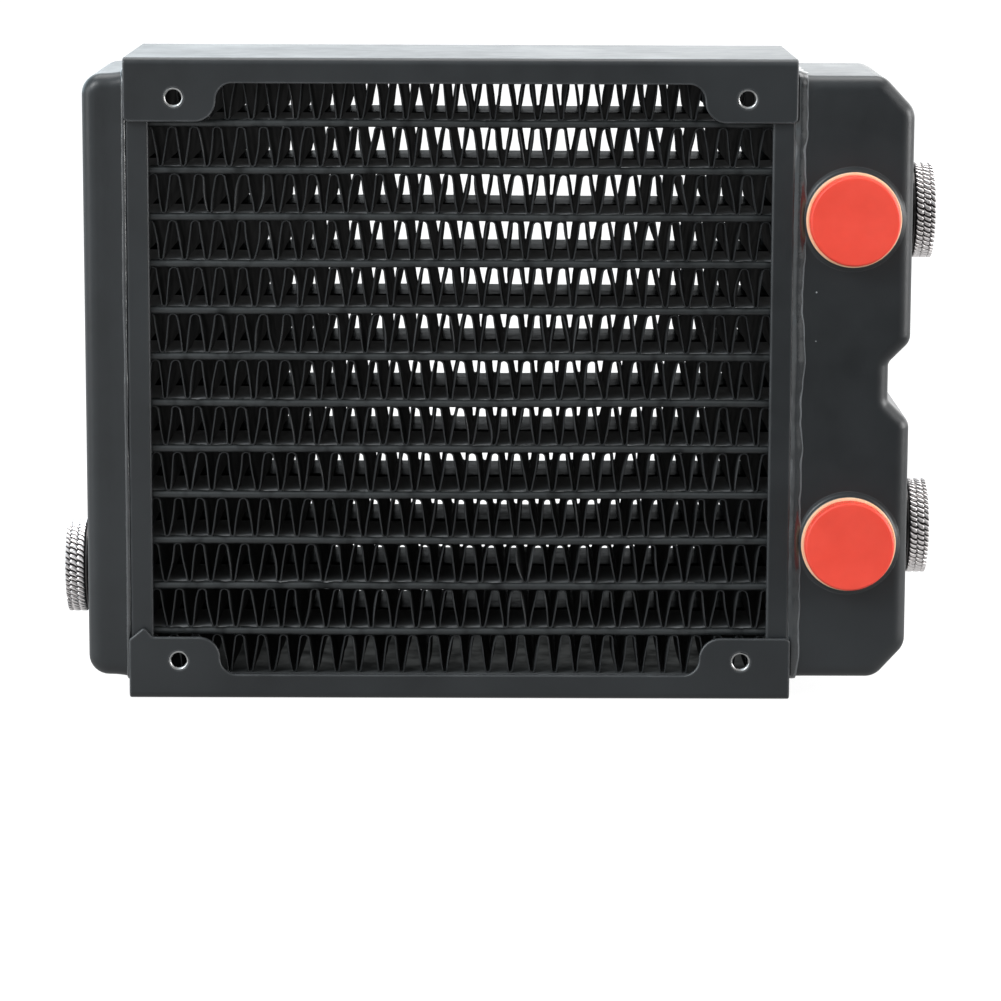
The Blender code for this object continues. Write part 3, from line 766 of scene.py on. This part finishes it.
def port_bush(key):
    """A soldered port: tapered painted boss, and a bare brass bore with its pipe thread."""
    spot, axis = PORTS[key]

    def bore(theta, s):
        return 6.62 - 0.57 * (1 - thread_share(theta, s))

    rings = [(7.25, 0.0)]
    rings += arc(8.66, -0.22, 0.22, from_deg=90, to_deg=12, steps=5)
    rings += [(8.94, -0.36), (9.04, -0.48), (9.16, -0.58)]
    follow_from = len(rings) - 4
    rings += [(9.32, -0.67), (9.56, -0.75), (9.86, -0.83), (9.86, -1.25)]
    follow_to = len(rings)
    rings += [(8.2, -1.6)]
    bare_from = len(rings)
    rings += [(8.2, -5.6), (6.9, -5.6), (6.62, -5.4)]
    rings += run(bore, -5.3, -0.62, PIPE_PITCH / THREAD_STEPS)
    rings += [(6.66, -0.5), (7.1, -0.08)]

    def follow(points, k):
        """On the right tank's front face, the boss runs out over the tank's rounded edge."""
        if axis[1] == 0 or not follow_from <= k < follow_to:
            return points
        over = np.clip(points[:, 0] - (RIGHT_X - TANK_EDGE), 0, TANK_EDGE * 0.98)
        drop = TANK_EDGE - np.sqrt(TANK_EDGE**2 - over**2)
        points[:, 1] += drop * min(1.0, (k - follow_from) / 4)
        return points

    obj = turned(
        f"port_{key}_bush", rings, 144, spot, axis, [PAINT, BRASS],
        closed=True, sharp_deg=38, bare_from=bare_from, reshape=follow,
    )
    keep(obj, "root", f"port_insert_{key}")


def mark_grooves(obj, spot, axis):
    """Stores how deep each point of a plug lies, for the painted shade in its hollows, its socket
    and on its outer face.
    """
    points = read_points(obj) / MM - np.array(spot)
    height = points @ np.array(axis, float)
    radius = np.sqrt(np.maximum(0.0, (points**2).sum(1) - height**2))
    depth = np.clip((GRIP_R - radius) / KNURL_DEPTH, 0, 1)
    depth[(height < 0.40) | (height > 4.51) | (radius < 8.21)] = 0.0
    # painted shade deepening into the hexagon socket
    socket = (radius < 3.6) & (height > 1.6)
    depth[socket] = np.clip((4.35 - height[socket]) / 1.2, 0, 1) * 0.80
    # painted shade on the flat outer face, to dim its bright reflection
    depth[(height > 4.45) & (radius < 8.35)] = 0.56  # outer face
    obj.data.attributes.new("groove", "FLOAT", "POINT").data.foreach_set("value", depth)


def stop_plug(key):
    """A plated stop plug: hexagon socket, knurled rim, O-ring recess and pipe thread."""
    spot, axis = PORTS[key]

    def grip(theta, s):
        rim = min(1.0, max(0.0, min(4.58 - s, s - 0.80) / 0.22))
        beads = knurl(theta, s, teeth=52, low=0.90, width=1.35, columns=3)
        return GRIP_R - 0.58 + (0.04 + KNURL_DEPTH * beads) * rim

    rings = [  # hexagon socket
        (0.0, 1.70),
        (lambda theta, s: hexagon(5.6, theta), 2.00),
        (lambda theta, s: hexagon(6.0, theta), 2.04),
        (lambda theta, s: hexagon(6.0, theta), 4.30),
        (lambda theta, s: hexagon(6.0, theta) * 0.5 + 1.85, 4.48),
        (3.95, 4.56), (4.05, 4.56),
    ]
    # outer face with a ring groove
    rings += [(4.9, 4.57), (5.0, 4.50), (5.3, 4.50), (5.4, 4.58)]
    rings += [(7.75, 4.60), (8.05, 4.58), (8.28, 4.54)]
    rings += run(grip, 4.50, 0.86, 0.08)
    rings += [(8.34, 0.82), (8.30, 0.76), (8.30, 0.50), (8.26, 0.47), (8.22, 0.50)]
    # O-ring recess
    rings += [(8.20, 1.55), (8.12, 1.65), (6.15, 1.65), (SHANK_ROOT, 1.40)]
    rings += [(SHANK_ROOT, 0.35)]
    thread = shank_thread(tip=-4.62, neck=0.15)
    rings += run(thread, 0.2, -4.62, PIPE_PITCH / THREAD_STEPS)
    rings += [(5.5, -4.70), (0.0, -4.70)]
    obj = turned(f"plug_{key}_body", rings, 572, spot, axis, [CHROME], sharp_deg=30)
    mark_grooves(obj, spot, axis)
    keep(obj, f"plug_{key}", f"stop_plug_{key}")


def o_ring(key):
    spot, axis = PORTS[key]
    angles = [2 * math.pi * k / 20 for k in range(20)]
    rings = [(7.32 + 0.80 * math.cos(a), 0.83 + 0.79 * math.sin(a)) for a in angles]
    obj = turned(
        f"seal_{key}_ring", rings, 120, spot, axis, [RUBBER], closed=True, sharp_deg=80
    )
    keep(obj, f"seal_{key}", f"plug_seal_{key}")


def transport_cap(key):
    """Moulded cap: dished face, a finely ribbed rim, and a hollow threaded shank."""
    spot, axis = PORTS[key]

    def rib(theta, s):
        fade = min(1.0, max(0.0, min(3.35 - s, s - 1.12) / 0.2))
        return 8.30 - 0.17 * fade * (0.5 + 0.5 * np.cos(theta * 120))

    rings = [(0.0, 3.40), (1.6, 3.405), (3.0, 3.43), (4.2, 3.49)]
    rings += [(5.2, 3.56), (6.1, 3.62), (6.9, 3.66), (7.5, 3.68)]
    rings += arc(7.81, 3.28, 0.42, from_deg=88, to_deg=12, steps=7)
    rings += run(rib, 3.3, 1.08, 0.14)
    rings += [(8.30, 1.04), (8.20, 1.0), (6.2, 1.0), (SHANK_ROOT, 0.8), (SHANK_ROOT, 0.5)]
    thread = shank_thread(tip=-4.9, neck=0.35)
    rings += run(thread, 0.4, -4.9, PIPE_PITCH / THREAD_STEPS)
    # the shank's open end and its hollow
    rings += [(5.6, -5.0), (4.9, -5.0), (4.75, -4.85), (4.6, 1.5), (4.3, 1.8), (0.0, 1.8)]
    obj = turned(f"cap_{key}_body", rings, 360, spot, axis, [RED], sharp_deg=40)
    keep(obj, f"cap_{key}", f"transport_cap_{key}")


def cap_washer(key):
    """A flat ring with rounded corners, between the cap and the port."""
    spot, axis = PORTS[key]
    corners = (  # centre radius, centre height, from and to in degrees
        (8.52, 0.68, 90, 0), (8.52, 0.34, 0, -90),
        (7.0, 0.34, -90, -180), (7.0, 0.68, 180, 90),
    )
    rings = []
    for cx, cy, from_deg, to_deg in corners:
        rings += arc(cx, cy, 0.28, from_deg, to_deg, steps=4)
    obj = turned(
        f"washer_{key}_ring", rings, 144, spot, axis, [PEACH], closed=True, sharp_deg=60
    )
    keep(obj, f"washer_{key}", f"cap_washer_{key}")


def fan_thread(name, spot, axis, seed):
    """The tapped edge of a fan hole: bare cut metal, with the paint chipped back round it."""

    def chipped(theta, s):
        return np.array([
            1.80
            + 0.07 * wave(2.2 * math.cos(t) + seed, 2.2 * math.sin(t), seed * 1.7)
            + 0.04 * wave(7 * math.cos(t), 7 * math.sin(t) + seed, 0.5)
            for t in theta
        ])

    def helix(theta, s):
        return 1.38 + 0.22 * (0.5 - 0.5 * np.cos(2 * math.pi * s / FAN_PITCH - theta))

    rings = [(chipped, -0.03), (chipped, 0.012), (1.70, 0.03), (1.52, -0.10)]
    rings += run(helix, -0.22, -0.86, FAN_PITCH / THREAD_STEPS)
    rings += [(1.52, -0.97), (1.70, -1.03), (1.78, -1.0)]
    obj = turned(name, rings, 72, spot, axis, [STEEL], closed=True, sharp_deg=50)
    keep(obj, "root")


# ---------------------------------------------------------------- frame and core


def channel(name, upper, node):
    """One folded channel of the frame, with lugs, swept windows and softened cut edges."""

    def z(v):
        """The height of a place this far in from the channel's outer face."""
        return FRAME_H - v if upper else v

    half_y, half_x = DEPTH / 2, FRAME_W / 2
    section = [
        (-half_y, z(CHANNEL_H), 0),
        (-half_y, z(0), BEND),
        (half_y, z(0), BEND),
        (half_y, z(CHANNEL_H), 0),
        (half_y - SHEET, z(CHANNEL_H), 0),
        (half_y - SHEET, z(SHEET), BEND - SHEET),
        (-half_y + SHEET, z(SHEET), BEND - SHEET),
        (-half_y + SHEET, z(CHANNEL_H), 0),
    ]
    obj = plate(name, [filleted(section, 9)], half_x, PLANE_YZ)
    step = half_x - LUG_FLAT - LUG_R_OUT  # where the lugs fall to the rim
    far = half_x + 6
    cutters = []
    for front in (True, False):
        edge = [
            (far, z(20), 0),
            (far, z(LUG_H - 1.0), 0),
            (half_x, z(LUG_H - 1.0), 0),
            (half_x, z(LUG_H), 1.0),
            (step, z(LUG_H), LUG_R_OUT),
            (step, z(RIM), LUG_R_IN),
            (-step, z(RIM), LUG_R_IN),
            (-step, z(LUG_H), LUG_R_OUT),
        ]
        if front and not upper:
            # the lower left front lug has a raised corner
            edge += [
                (-half_x + 4.4, z(LUG_H), 0.7),
                (-half_x + 2.8, z(13.5), 0.6),
                (-half_x, z(LUG_H - 0.5), 0),
                (-far, z(LUG_H - 0.5), 0),
            ]
        else:
            edge += [
                (-half_x, z(LUG_H), 1.0),
                (-half_x, z(LUG_H - 1.0), 0),
                (-far, z(LUG_H - 1.0), 0),
            ]
        edge.append((-far, z(20), 0))
        centre = (0, -15 if front else 15, 0)
        cutters.append(plate(name + "_window", [filleted(edge, 12)], 12, PLANE_XZ, centre))
    for x in (-HOLE_X, HOLE_X):
        start, end = (x, -DEPTH, z(HOLE_Z)), (x, DEPTH, z(HOLE_Z))
        cutters.append(rod(name + "_drill", HOLE_R, start, end, 40))
    cut(obj, *cutters)
    clean(obj.data)
    soften(obj, width=0.30, segments=4, limit_deg=38)
    dress(obj, PAINT)
    keep(obj, "root", node)


def sag(x, row):
    """How far a tube strays from straight, as a real one does after brazing."""
    ends = max(0.0, 1 - (abs(x) / 59.0) ** 4)
    slow = 0.16 * wave(x * 0.022, row * 3.1, 7.7)
    return ends * (slow + 0.05 * wave(x * 0.09, row * 1.7, 2.2))


def tube(row):
    """A flat folded tube with its two water channels and the seam along its middle."""
    h, d = TUBE_T / 2, TUBE_DEPTH / 2
    seam = [(-0.9, -h), (-0.40, -h + 0.07), (0, -h + 0.34), (0.40, -h + 0.07), (0.9, -h)]
    angles = [math.pi * k / 10 for k in range(11)]
    rear_end = [(d - h + h * math.sin(a), -h * math.cos(a)) for a in angles]
    half = seam + rear_end
    outer = half + [(-y, -z) for y, z in half]
    inner_h = h - TUBE_WALL
    water = stadium(0.55, d - 0.5, -inner_h, inner_h)
    holes = [[(sign * y, z) for y, z in water] for sign in (1, -1)]
    obj = plate(
        f"tube_{row + 1:02d}",
        [distinct(outer)] + holes,
        TUBE_HALF_LENGTH,
        PLANE_YZ,
        (0, 0, TUBE_Z[row]),
    )
    slice_mesh(obj, 0, range(-60, 61, 4))
    points = read_points(obj)
    points[:, 2] += np.array([sag(x / MM, row) for x in points[:, 0]]) * MM
    write_points(obj, points)
    dress(obj, TUBE_PAINT, 40)
    keep(obj, "root", f"core_tube_{row + 1:02d}")


def fin_line(rng, folds, start, end, floor_at, roof_at):
    """The centre line (x, z) of one fin strip, seen from the front, from end to end."""
    gap = (end - start) / (2 * folds)
    spots = [
        start + i * gap + (rng.uniform(-0.15, 0.15) if 0 < i < 2 * folds else 0)
        for i in range(2 * folds + 1)
    ]
    line = []
    for i in range(2 * folds):
        rising = i % 2 == 0
        x_low, x_high = (spots[i], spots[i + 1]) if rising else (spots[i + 1], spots[i])
        r_low = rng.uniform(0.36, 0.48)
        r_high = rng.uniform(0.66, 0.86)
        side = 1 if rising else -1
        # the lower and upper bends' centres, measured from x_low towards x_high
        low = np.array([0.0, floor_at(x_low) + r_low])
        high = np.array([(x_high - x_low) * side, roof_at(x_high) - r_high])
        reach = math.hypot(*(high - low))
        turn = math.atan2(high[1] - low[1], high[0]) + math.asin((r_low + r_high) / reach)
        turn = min(turn, math.radians(96))
        piece = [
            (low[0] + r_low * math.sin(a), low[1] - r_low * math.cos(a))
            for a in (turn * k / 6 for k in range(7))
        ]
        crest = [
            (high[0] - r_high * math.sin(a), high[1] + r_high * math.cos(a))
            for a in (turn * (7 - k) / 7 for k in range(8))
        ]
        # the flank between the two bends bows slightly
        foot, top = np.array(piece[-1]), np.array(crest[0])
        bow = rng.uniform(-0.07, 0.07)
        for k in range(1, 5):
            flank = foot + (top - foot) * k / 5
            piece.append((flank[0] + bow * math.sin(math.pi * k / 5), flank[1]))
        piece += crest
        piece = [(x_low + side * x, z) for x, z in piece]
        if not rising:
            piece.reverse()
        line += piece if not line else piece[1:]
    return np.array(line)


def edge_knocks(rng, line, row):
    """How far each point of the front (-1) and rear (1) edge is pushed sideways."""
    knocks = {}
    for end in (-1, 1):
        push = np.array([0.16 * wave(x * 0.9, row * 5.3, end * 3.0) for x in line[:, 0]])
        for _ in range(rng.choice((1, 1, 2, 3))):
            at = rng.uniform(-56, 56)
            push += rng.uniform(0.3, 0.75) * rng.choice((-1, 1)) * np.exp(
                -(((line[:, 0] - at) / 1.1) ** 2)
            )
        knocks[end] = push
    return knocks


def fin_faces(layers, count):
    """The faces of a fin strip and their materials: 0 inside, 1 at the front and rear edges."""

    def index(sheet, j, i):
        return (sheet * layers + j) * count + i

    faces, which = [], []
    for sheet in (0, 1):
        for j in range(layers - 1):
            for i in range(count - 1):
                face = (
                    index(sheet, j, i),
                    index(sheet, j, i + 1),
                    index(sheet, j + 1, i + 1),
                    index(sheet, j + 1, i),
                )
                which.append(1 if j in (0, layers - 2) else 0)
                faces.append(face if sheet else face[::-1])
    for j in (0, layers - 1):
        for i in range(count - 1):
            which.append(1)
            faces.append((index(0, j, i), index(0, j, i + 1), index(1, j, i + 1), index(1, j, i)))
    for i in (0, count - 1):
        for j in range(layers - 1):
            which.append(0)
            faces.append((index(0, j, i), index(0, j + 1, i), index(1, j + 1, i), index(1, j, i)))
    return faces, which


def fin_strip(row):
    """One folded strip of thin fin between two tubes, its edges a little knocked about."""
    rng = random.Random(4100 + row)
    low = CORE_Z + (TUBES / 2 - row) * TUBE_PITCH - (TUBE_PITCH - TUBE_T) / 2
    high = low + TUBE_PITCH - TUBE_T

    def floor_at(x):
        return low + (sag(x, row) if row < TUBES else 0.0) + 0.02

    def roof_at(x):
        return high + (sag(x, row - 1) if row > 0 else 0.0) - 0.02

    folds = rng.choice((28, 28, 29, 28))
    shift = rng.uniform(-0.9, 0.9) * 0.5
    start, end = -FIN_HALF_LENGTH + shift, FIN_HALF_LENGTH + shift
    line = fin_line(rng, folds, start, end, floor_at, roof_at)
    ahead = headings(line, closed=False)
    normal = np.stack([-ahead[:, 1], ahead[:, 0]], 1)
    y = FIN_DEPTH / 2
    depths = [
        -y, -y + 0.12, -y + 1.2, -y + 3.6, -y + 7.5, -5.5, 0,
        5.5, y - 7.5, y - 3.6, y - 1.2, y - 0.12, y,
    ]
    lean = rng.uniform(0.20, 0.36)
    middle = np.sin(np.clip((line[:, 1] - low) / (high - low), 0, 1) * math.pi)
    knocks = edge_knocks(rng, line, row)
    points = []
    for sheet in (1, -1):
        for depth in depths:
            near = math.exp(-(y - abs(depth)) / 1.8)  # 1 at the front and rear edges
            thin = 0.40 if abs(depth) >= y - 0.01 else 1.0
            flat = line + normal * FIN_HALF_T * sheet * thin
            ripple = [wave(x * 0.55, depth * 0.13 + row * 4.1, row * 2.3) for x in line[:, 0]]
            drift = 0.80 * np.array(ripple) * (1 - 0.6 * near)
            knock = knocks[-1 if depth < 0 else 1]
            x = flat[:, 0] + knock * near * middle + drift * np.sqrt(middle)
            # the folds lean with depth, less and then the other way towards the right end
            x += lean * (1.0 - 1.25 * np.clip((line[:, 0] - 5) / 45, 0, 1)) * depth / y
            points.append(np.stack([x, np.full(len(line), depth), flat[:, 1]], 1))
    faces, which = fin_faces(len(depths), len(line))
    name = f"fins_{row + 1:02d}"
    obj = raw_mesh(name, np.concatenate(points), faces, [FIN_PAINT, FIN_EDGE_PAINT], which, 50)
    keep(obj, "root", f"fin_strip_{row + 1:02d}")


def header(side, word):
    """The tube plate, with its rims folded over the core's ends as the frame's side rails."""
    inner_x, inner_y = RAIL_OUT - SHEET, RAIL_FRONT - SHEET
    section = [
        (RAIL_OUT, -RAIL_FRONT, 0.42),
        (RAIL_OUT, RAIL_FRONT, 0.42),
        (RAIL_IN, RAIL_FRONT, 0.50),
        (RAIL_IN, inner_y, 0.2),
        (inner_x, inner_y, 0.25),
        (inner_x, -inner_y, 0.25),
        (RAIL_IN, -inner_y, 0.2),
        (RAIL_IN, -RAIL_FRONT, 0.50),
    ]
    low, high = SHEET + 0.3, FRAME_H - SHEET - 0.3
    obj = plate(
        f"header_{word}_sheet",
        [[(side * x, y) for x, y in filleted(section, 9)]],
        (high - low) / 2,
        PLANE_XY,
        (0, 0, (high + low) / 2),
    )
    clearance = 0.08
    h = TUBE_T / 2 + clearance
    d = TUBE_DEPTH / 2 + clearance
    cut(obj, plate("slots", [stadium(-d, d, z - h, z + h) for z in TUBE_Z], 90, PLANE_YZ))
    clean(obj.data)
    soften(obj, width=0.28, segments=3, limit_deg=38)
    dress(obj, PAINT)
    keep(obj, "root", f"header_plate_{word}")


def tube_solder(side, word):
    """Small fillets of solder round each tube at the tube plate, on the core's side."""
    points, faces = [], []
    d, h = TUBE_DEPTH / 2, TUBE_T / 2
    for zc in TUBE_Z:
        line, outward = dense_path(stadium(-d, d, -h, h), step=1.2)
        faces += ring_faces(len(line), 6, start=len(points))
        for (y, z), (out_y, out_z) in zip(line, outward):
            size = 0.42 + 0.22 * wave(y * 0.35, zc * 0.4 + z, side * 3.0)
            profile = (  # towards the tank, away from the tube
                (0.15, -0.15), (0.15, size), (-0.12, size * 0.62),
                (-size * 0.7, 0.10), (-size, -0.05), (-size, -0.15),
            )
            for x, v in profile:
                points.append((side * (RAIL_OUT - SHEET + x), y + out_y * v, zc + z + out_z * v))
    obj = raw_mesh(f"tube_solder_{word}", points, faces, [TUBE_PAINT], sharp_deg=60)
    keep(obj, "root")


# ---------------------------------------------------------------- tanks


def tank_outline(side):
    """The front outline (x, z, radius) of a tank, run on into the core to be cut off."""
    back = 50
    if side < 0:
        return [
            (LEFT_X, TANK_LOW, 3.8),
            (-back, TANK_LOW, 3.0),
            (-back, TANK_HIGH, 3.0),
            (LEFT_X, TANK_HIGH, 3.8),
        ]
    # a shallow notch in the end face, between the two ports
    notch_z = (PORT_UPPER_Z + PORT_LOWER_Z) / 2 - 0.1
    return [
        (back, TANK_LOW, 3.0),
        (RIGHT_X - 5.6, TANK_LOW, 4.0),
        (RIGHT_X, TANK_LOW + 6.1, 4.0),
        (RIGHT_X, notch_z - 7.5, 3.0),
        (RIGHT_X - 4.0, notch_z - 3.5, 1.5),
        (RIGHT_X - 4.0, notch_z + 3.5, 1.5),
        (RIGHT_X, notch_z + 7.5, 3.0),
        (RIGHT_X, TANK_HIGH - 6.2, 4.0),
        (RIGHT_X - 5.8, TANK_HIGH, 4.0),
        (back, TANK_HIGH, 3.0),
    ]


def flare_mouth(obj, side):
    """Swells the tank's mouth a little, most at the tube plate, up, down, front and rear."""
    reach = 3.7
    points = read_points(obj)
    for k, (x, y, z) in enumerate(points / MM):
        near = abs(x) - FRAME_W / 2
        if near > reach:
            continue
        share = (1 - max(0.0, near) / reach) ** 2
        swell = share * (0.75 + 0.25 * wave(z * 0.07, y * 0.1, side * 4.0))
        if z > TANK_HIGH - 4 or z < TANK_LOW + 4:
            lift = 0.62 if side < 0 else 0.34 if z > CORE_Z else 0.04
            points[k, 2] += math.copysign(lift, z - CORE_Z) * swell * MM
        points[k, 1] += 0.30 * swell * (y / TANK_Y) * MM
    write_points(obj, points)


def tank(side, word):
    """A drawn tank: soft rolled edges, port holes and a flared mouth at the tube plate."""
    corners = tank_outline(side)
    obj = plate(f"tank_{word}_shell", [filleted(corners, 8)], TANK_Y, PLANE_XZ)
    soften(obj, TANK_EDGE, 7)
    inner = filleted(inset(corners, TANK_WALL), 8)
    hollow = plate("hollow", [inner], TANK_Y - TANK_WALL, PLANE_XZ)
    soften(hollow, TANK_EDGE - TANK_WALL, 4)
    mouth = FRAME_W / 2
    if side > 0:
        core_space = block("core_space", (30, -40, -20), (mouth, 40, 140))
    else:
        core_space = block("core_space", (-mouth, -40, -20), (-30, 40, 140))
    cutters = [core_space, hollow]
    for key, (spot, axis) in PORTS.items():
        if (key == "left_end") == (side < 0):
            spot, axis = Vector(spot), Vector(axis)
            cutters.append(rod("port", 8.5, spot + axis, spot - axis * 6.5, 48))
    cut(obj, *cutters)
    clean(obj.data, angle=0.3)
    slice_mesh(obj, 0, [side * (mouth + d) for d in (0.25, 0.6, 1.0, 1.5, 2.1, 2.8, 3.6)])
    slice_mesh(obj, 2, range(8, 114, 5))
    flare_mouth(obj, side)
    dress(obj, PAINT, 40)
    keep(obj, "root", f"tank_{word}")


def bead(side, word):
    """The painted-over solder run round the tank's mouth, thick and thin as it was laid."""
    y_far, z_low, z_high = TANK_Y + 0.1, TANK_LOW - 0.4, TANK_HIGH + 0.4
    corners = [(-y_far, z_low), (y_far, z_low), (y_far, z_high), (-y_far, z_high)]
    path = filleted([(y, z, 2.6) for y, z in corners], 8)
    line, outward = dense_path(path, step=0.7)
    sides = 20
    points = []
    for (y, z), (out_y, out_z) in zip(line, outward):
        slow = wave(z * 0.085, y * 0.2, side * 9.0)
        quick = wave(z * 0.42, y * 0.5, side * 5.0)
        stray = wave(z * 0.06, y * 0.3 + 4, side * 2.0)
        if side > 0:
            # wide and flat, dwindling at the bottom
            low = min(1.0, max(0.0, (z - TANK_LOW) / 4.0))
            wide = (1.30 + 0.52 * slow + 0.24 * quick) * (0.6 + 0.4 * low)
            tall = (0.27 + 0.25 * slow + 0.15 * quick) * (0.25 + 0.75 * low)
            off = 0.14 + 0.46 * stray
        else:
            wide = 0.46 + 0.16 * slow + 0.08 * quick
            tall = 0.50 + 0.12 * slow + 0.08 * quick
            off = -0.24 + 0.12 * stray
        for k in range(sides):
            angle = 2 * math.pi * k / sides
            u, v = math.cos(angle) * wide, math.sin(angle) * tall
            if side > 0 and v > 0:
                # the outer half runs out smoothly onto the metal
                u = wide * (1 - 1.4 * k * 2 / sides)
                v = tall * (0.5 + 0.5 * math.cos(math.pi * u / wide))
            x = side * (FRAME_W / 2 + 0.35 + off + u)
            points.append((x, y + out_y * (v + 0.04), z + out_z * (v + 0.04)))
    faces = ring_faces(len(line), sides)
    obj = raw_mesh(f"solder_bead_{word}", points, faces, [SOLDER_PAINT], sharp_deg=80)
    keep(obj, "root")


# ---------------------------------------------------------------- build


def fan_threads():
    holes = [(x, z) for z in (HOLE_Z, FRAME_H - HOLE_Z) for x in (-HOLE_X, HOLE_X)]
    for face, (word, side) in enumerate((("front", -1), ("rear", 1))):
        for number, (x, z) in enumerate(holes, 1):
            spot, seed = (x, side * DEPTH / 2, z), (face * len(holes) + number) * 1.37
            fan_thread(f"fan_thread_{word}_{number}", spot, (0, side, 0), seed)


def paint_cad_pieces():
    for node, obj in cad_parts.items():
        mat = PAINT
        if node.startswith("core_side_plate"):
            mat = PLATE_PAINT
        elif node == "tank_baffle":
            mat = BRASS
        obj.data.materials.clear()
        obj.data.materials.append(mat)


channel("top_channel_sheet", True, "top_channel")
channel("bottom_channel_sheet", False, "bottom_channel")
for row in range(TUBES):
    tube(row)
for row in range(TUBES + 1):
    fin_strip(row)
for side, word in ((-1, "left"), (1, "right")):
    header(side, word)
    tank(side, word)
    bead(side, word)
    tube_solder(side, word)
for key in PORTS:
    port_bush(key)
for key in ("end_upper", "end_lower", "left_end"):
    stop_plug(key)
    o_ring(key)
for key in ("front_upper", "front_lower"):
    transport_cap(key)
    cap_washer(key)
fan_threads()
paint_cad_pieces()


# ---------------------------------------------------------------- studio (metres)

scene = bpy.context.scene
scene.view_settings.view_transform = "Standard"
scene.view_settings.look = "None"


def studio_world():
    """Plain white to the camera; to all other rays, soft glows from several sides."""
    world = bpy.data.worlds.new("studio")
    scene.world = world
    world.use_nodes = True
    world.node_tree.nodes.clear()
    g = Graph(world.node_tree)
    where = g.add("ShaderNodeTexCoord").outputs["Generated"]
    x, y, z = g.add("ShaderNodeSeparateXYZ", {0: where}).outputs
    behind = g.times(
        g.spread(y, over=(0.05, 0.75), to=(0.0, 2.5)),
        g.spread(z, over=(0.22, 0.60), to=(1.0, 0.30)),
    )
    right = g.spread(x, over=(0.45, 0.90))
    front_left = g.times(
        g.spread(x, over=(0.04, -0.16), to=(0.0, 0.80)), g.spread(y, over=(0.0, -0.35))
    )
    left = g.plus(front_left, g.spread(x, over=(-0.55, -0.95), to=(0.0, 0.35)))
    above = g.spread(z, over=(0.12, 0.95), to=(0.0, 0.62))
    light = g.plus(g.plus(behind, right), g.plus(left, above))
    light = g.math("MINIMUM", g.plus(light, 0.03), 2.5)  # least and greatest level
    seen = g.camera_ray()
    unseen_light = g.times(g.math("SUBTRACT", 1.0, seen), light)
    strength = g.plus(g.times(seen, 1.0), unseen_light)
    # cooler towards the left
    cool = g.times(g.spread(x, over=(0.25, -0.60)), g.math("SUBTRACT", 1.0, seen))
    tint = g.mix(cool, rgb(1.0, 1.0, 1.0), rgb(0.82, 0.985, 1.09))
    back = g.add("ShaderNodeBackground", {"Color": tint, "Strength": strength})
    g.add("ShaderNodeOutputWorld", {0: back.outputs[0]})


def pale_floor():
    """White to the camera; to all other rays, dark before the radiator and lit round it."""
    mat = bpy.data.materials.new("pale_floor")
    mat.use_nodes = True
    mat.node_tree.nodes.clear()
    g = Graph(mat.node_tree)
    seen = g.camera_ray()
    x = g.axis(g.where(), "X")
    y = g.axis(g.where(), "Y")
    left = g.spread(x, over=(0.06, -0.09), to=(0.0, 0.62))
    right = g.spread(x, over=(0.30, 0.55), to=(0.0, 0.85))
    behind = g.spread(y, over=(-0.15, 0.05), to=(0.0, 0.70))
    level = g.math("MAXIMUM", g.math("MAXIMUM", left, right), behind)
    level = g.mix(seen, level, rgb(1.13, 1.13, 1.13))
    shade = g.add("ShaderNodeBsdfDiffuse", {"Color": rgb(0.90, 0.90, 0.90)})
    lit = g.add("ShaderNodeEmission", {"Color": rgb(1.0, 1.0, 1.0), "Strength": level})
    inputs = {0: 0.86, 1: shade.outputs[0], 2: lit.outputs[0]}  # mostly the lit part
    mixed = g.add("ShaderNodeMixShader", inputs)
    g.add("ShaderNodeOutputMaterial", {0: mixed.outputs[0]})
    return mat


def studio_floor():
    """A wide square just below the radiator."""
    half, z = 9, -0.0002
    corners = [(-half, -half, z), (half, -half, z), (half, half, z), (-half, half, z)]
    mesh = bpy.data.meshes.new("floor")
    mesh.from_pydata(corners, [], [(0, 1, 2, 3)])
    link_object("floor", mesh)
    mesh.materials.append(pale_floor())


def softbox(name, spot, aim, size, power):
    light = bpy.data.lights.new(name, "AREA")
    light.shape = "RECTANGLE"
    light.size, light.size_y = size
    light.energy = power
    obj = link_object(name, light)
    obj.location = spot
    obj.rotation_mode = "QUATERNION"
    obj.rotation_quaternion = (Vector(aim) - Vector(spot)).to_track_quat("-Z", "Y")


SOFTBOXES = (  # name, place, aim, width and height, power in watts
    ("key", (-0.95, -0.85, 0.95), (0, 0, 0.06), (0.55, 0.55), 11),
    ("fill", (0.95, -0.85, 0.75), (0, 0, 0.06), (0.55, 0.55), 0.8),
    ("right_side", (1.18, -0.18, 0.20), (0.08, 0, 0.06), (0.60, 0.80), 12),
    ("left_side", (-1.16, -0.34, 0.20), (-0.07, 0, 0.06), (0.55, 0.80), 3.6),
    ("top", (0.0, 0.25, 1.1), (0, 0, 0.06), (1.2, 0.7), 9),
)


def studio_camera():
    """A long lens in front of the radiator, looking slightly down."""
    data = bpy.data.cameras.new("camera")
    camera = link_object("camera", data)
    right = Vector((0.999989, -0.003105, 0.003453))
    up = Vector((-0.002881, 0.168431, 0.985709))
    ahead = Vector((0.003642, 0.985709, -0.168420))
    turn = Matrix((right, up, -ahead)).transposed()
    place = Vector((4.80, -767.18, 165.02)) * MM
    camera.matrix_world = Matrix.Translation(place) @ turn.to_4x4()
    data.sensor_width = 36.0
    data.lens = 146.296
    data.clip_start, data.clip_end = 0.05, 40
    scene.camera = camera


studio_world()
studio_floor()
for box in SOFTBOXES:
    softbox(*box)
studio_camera()
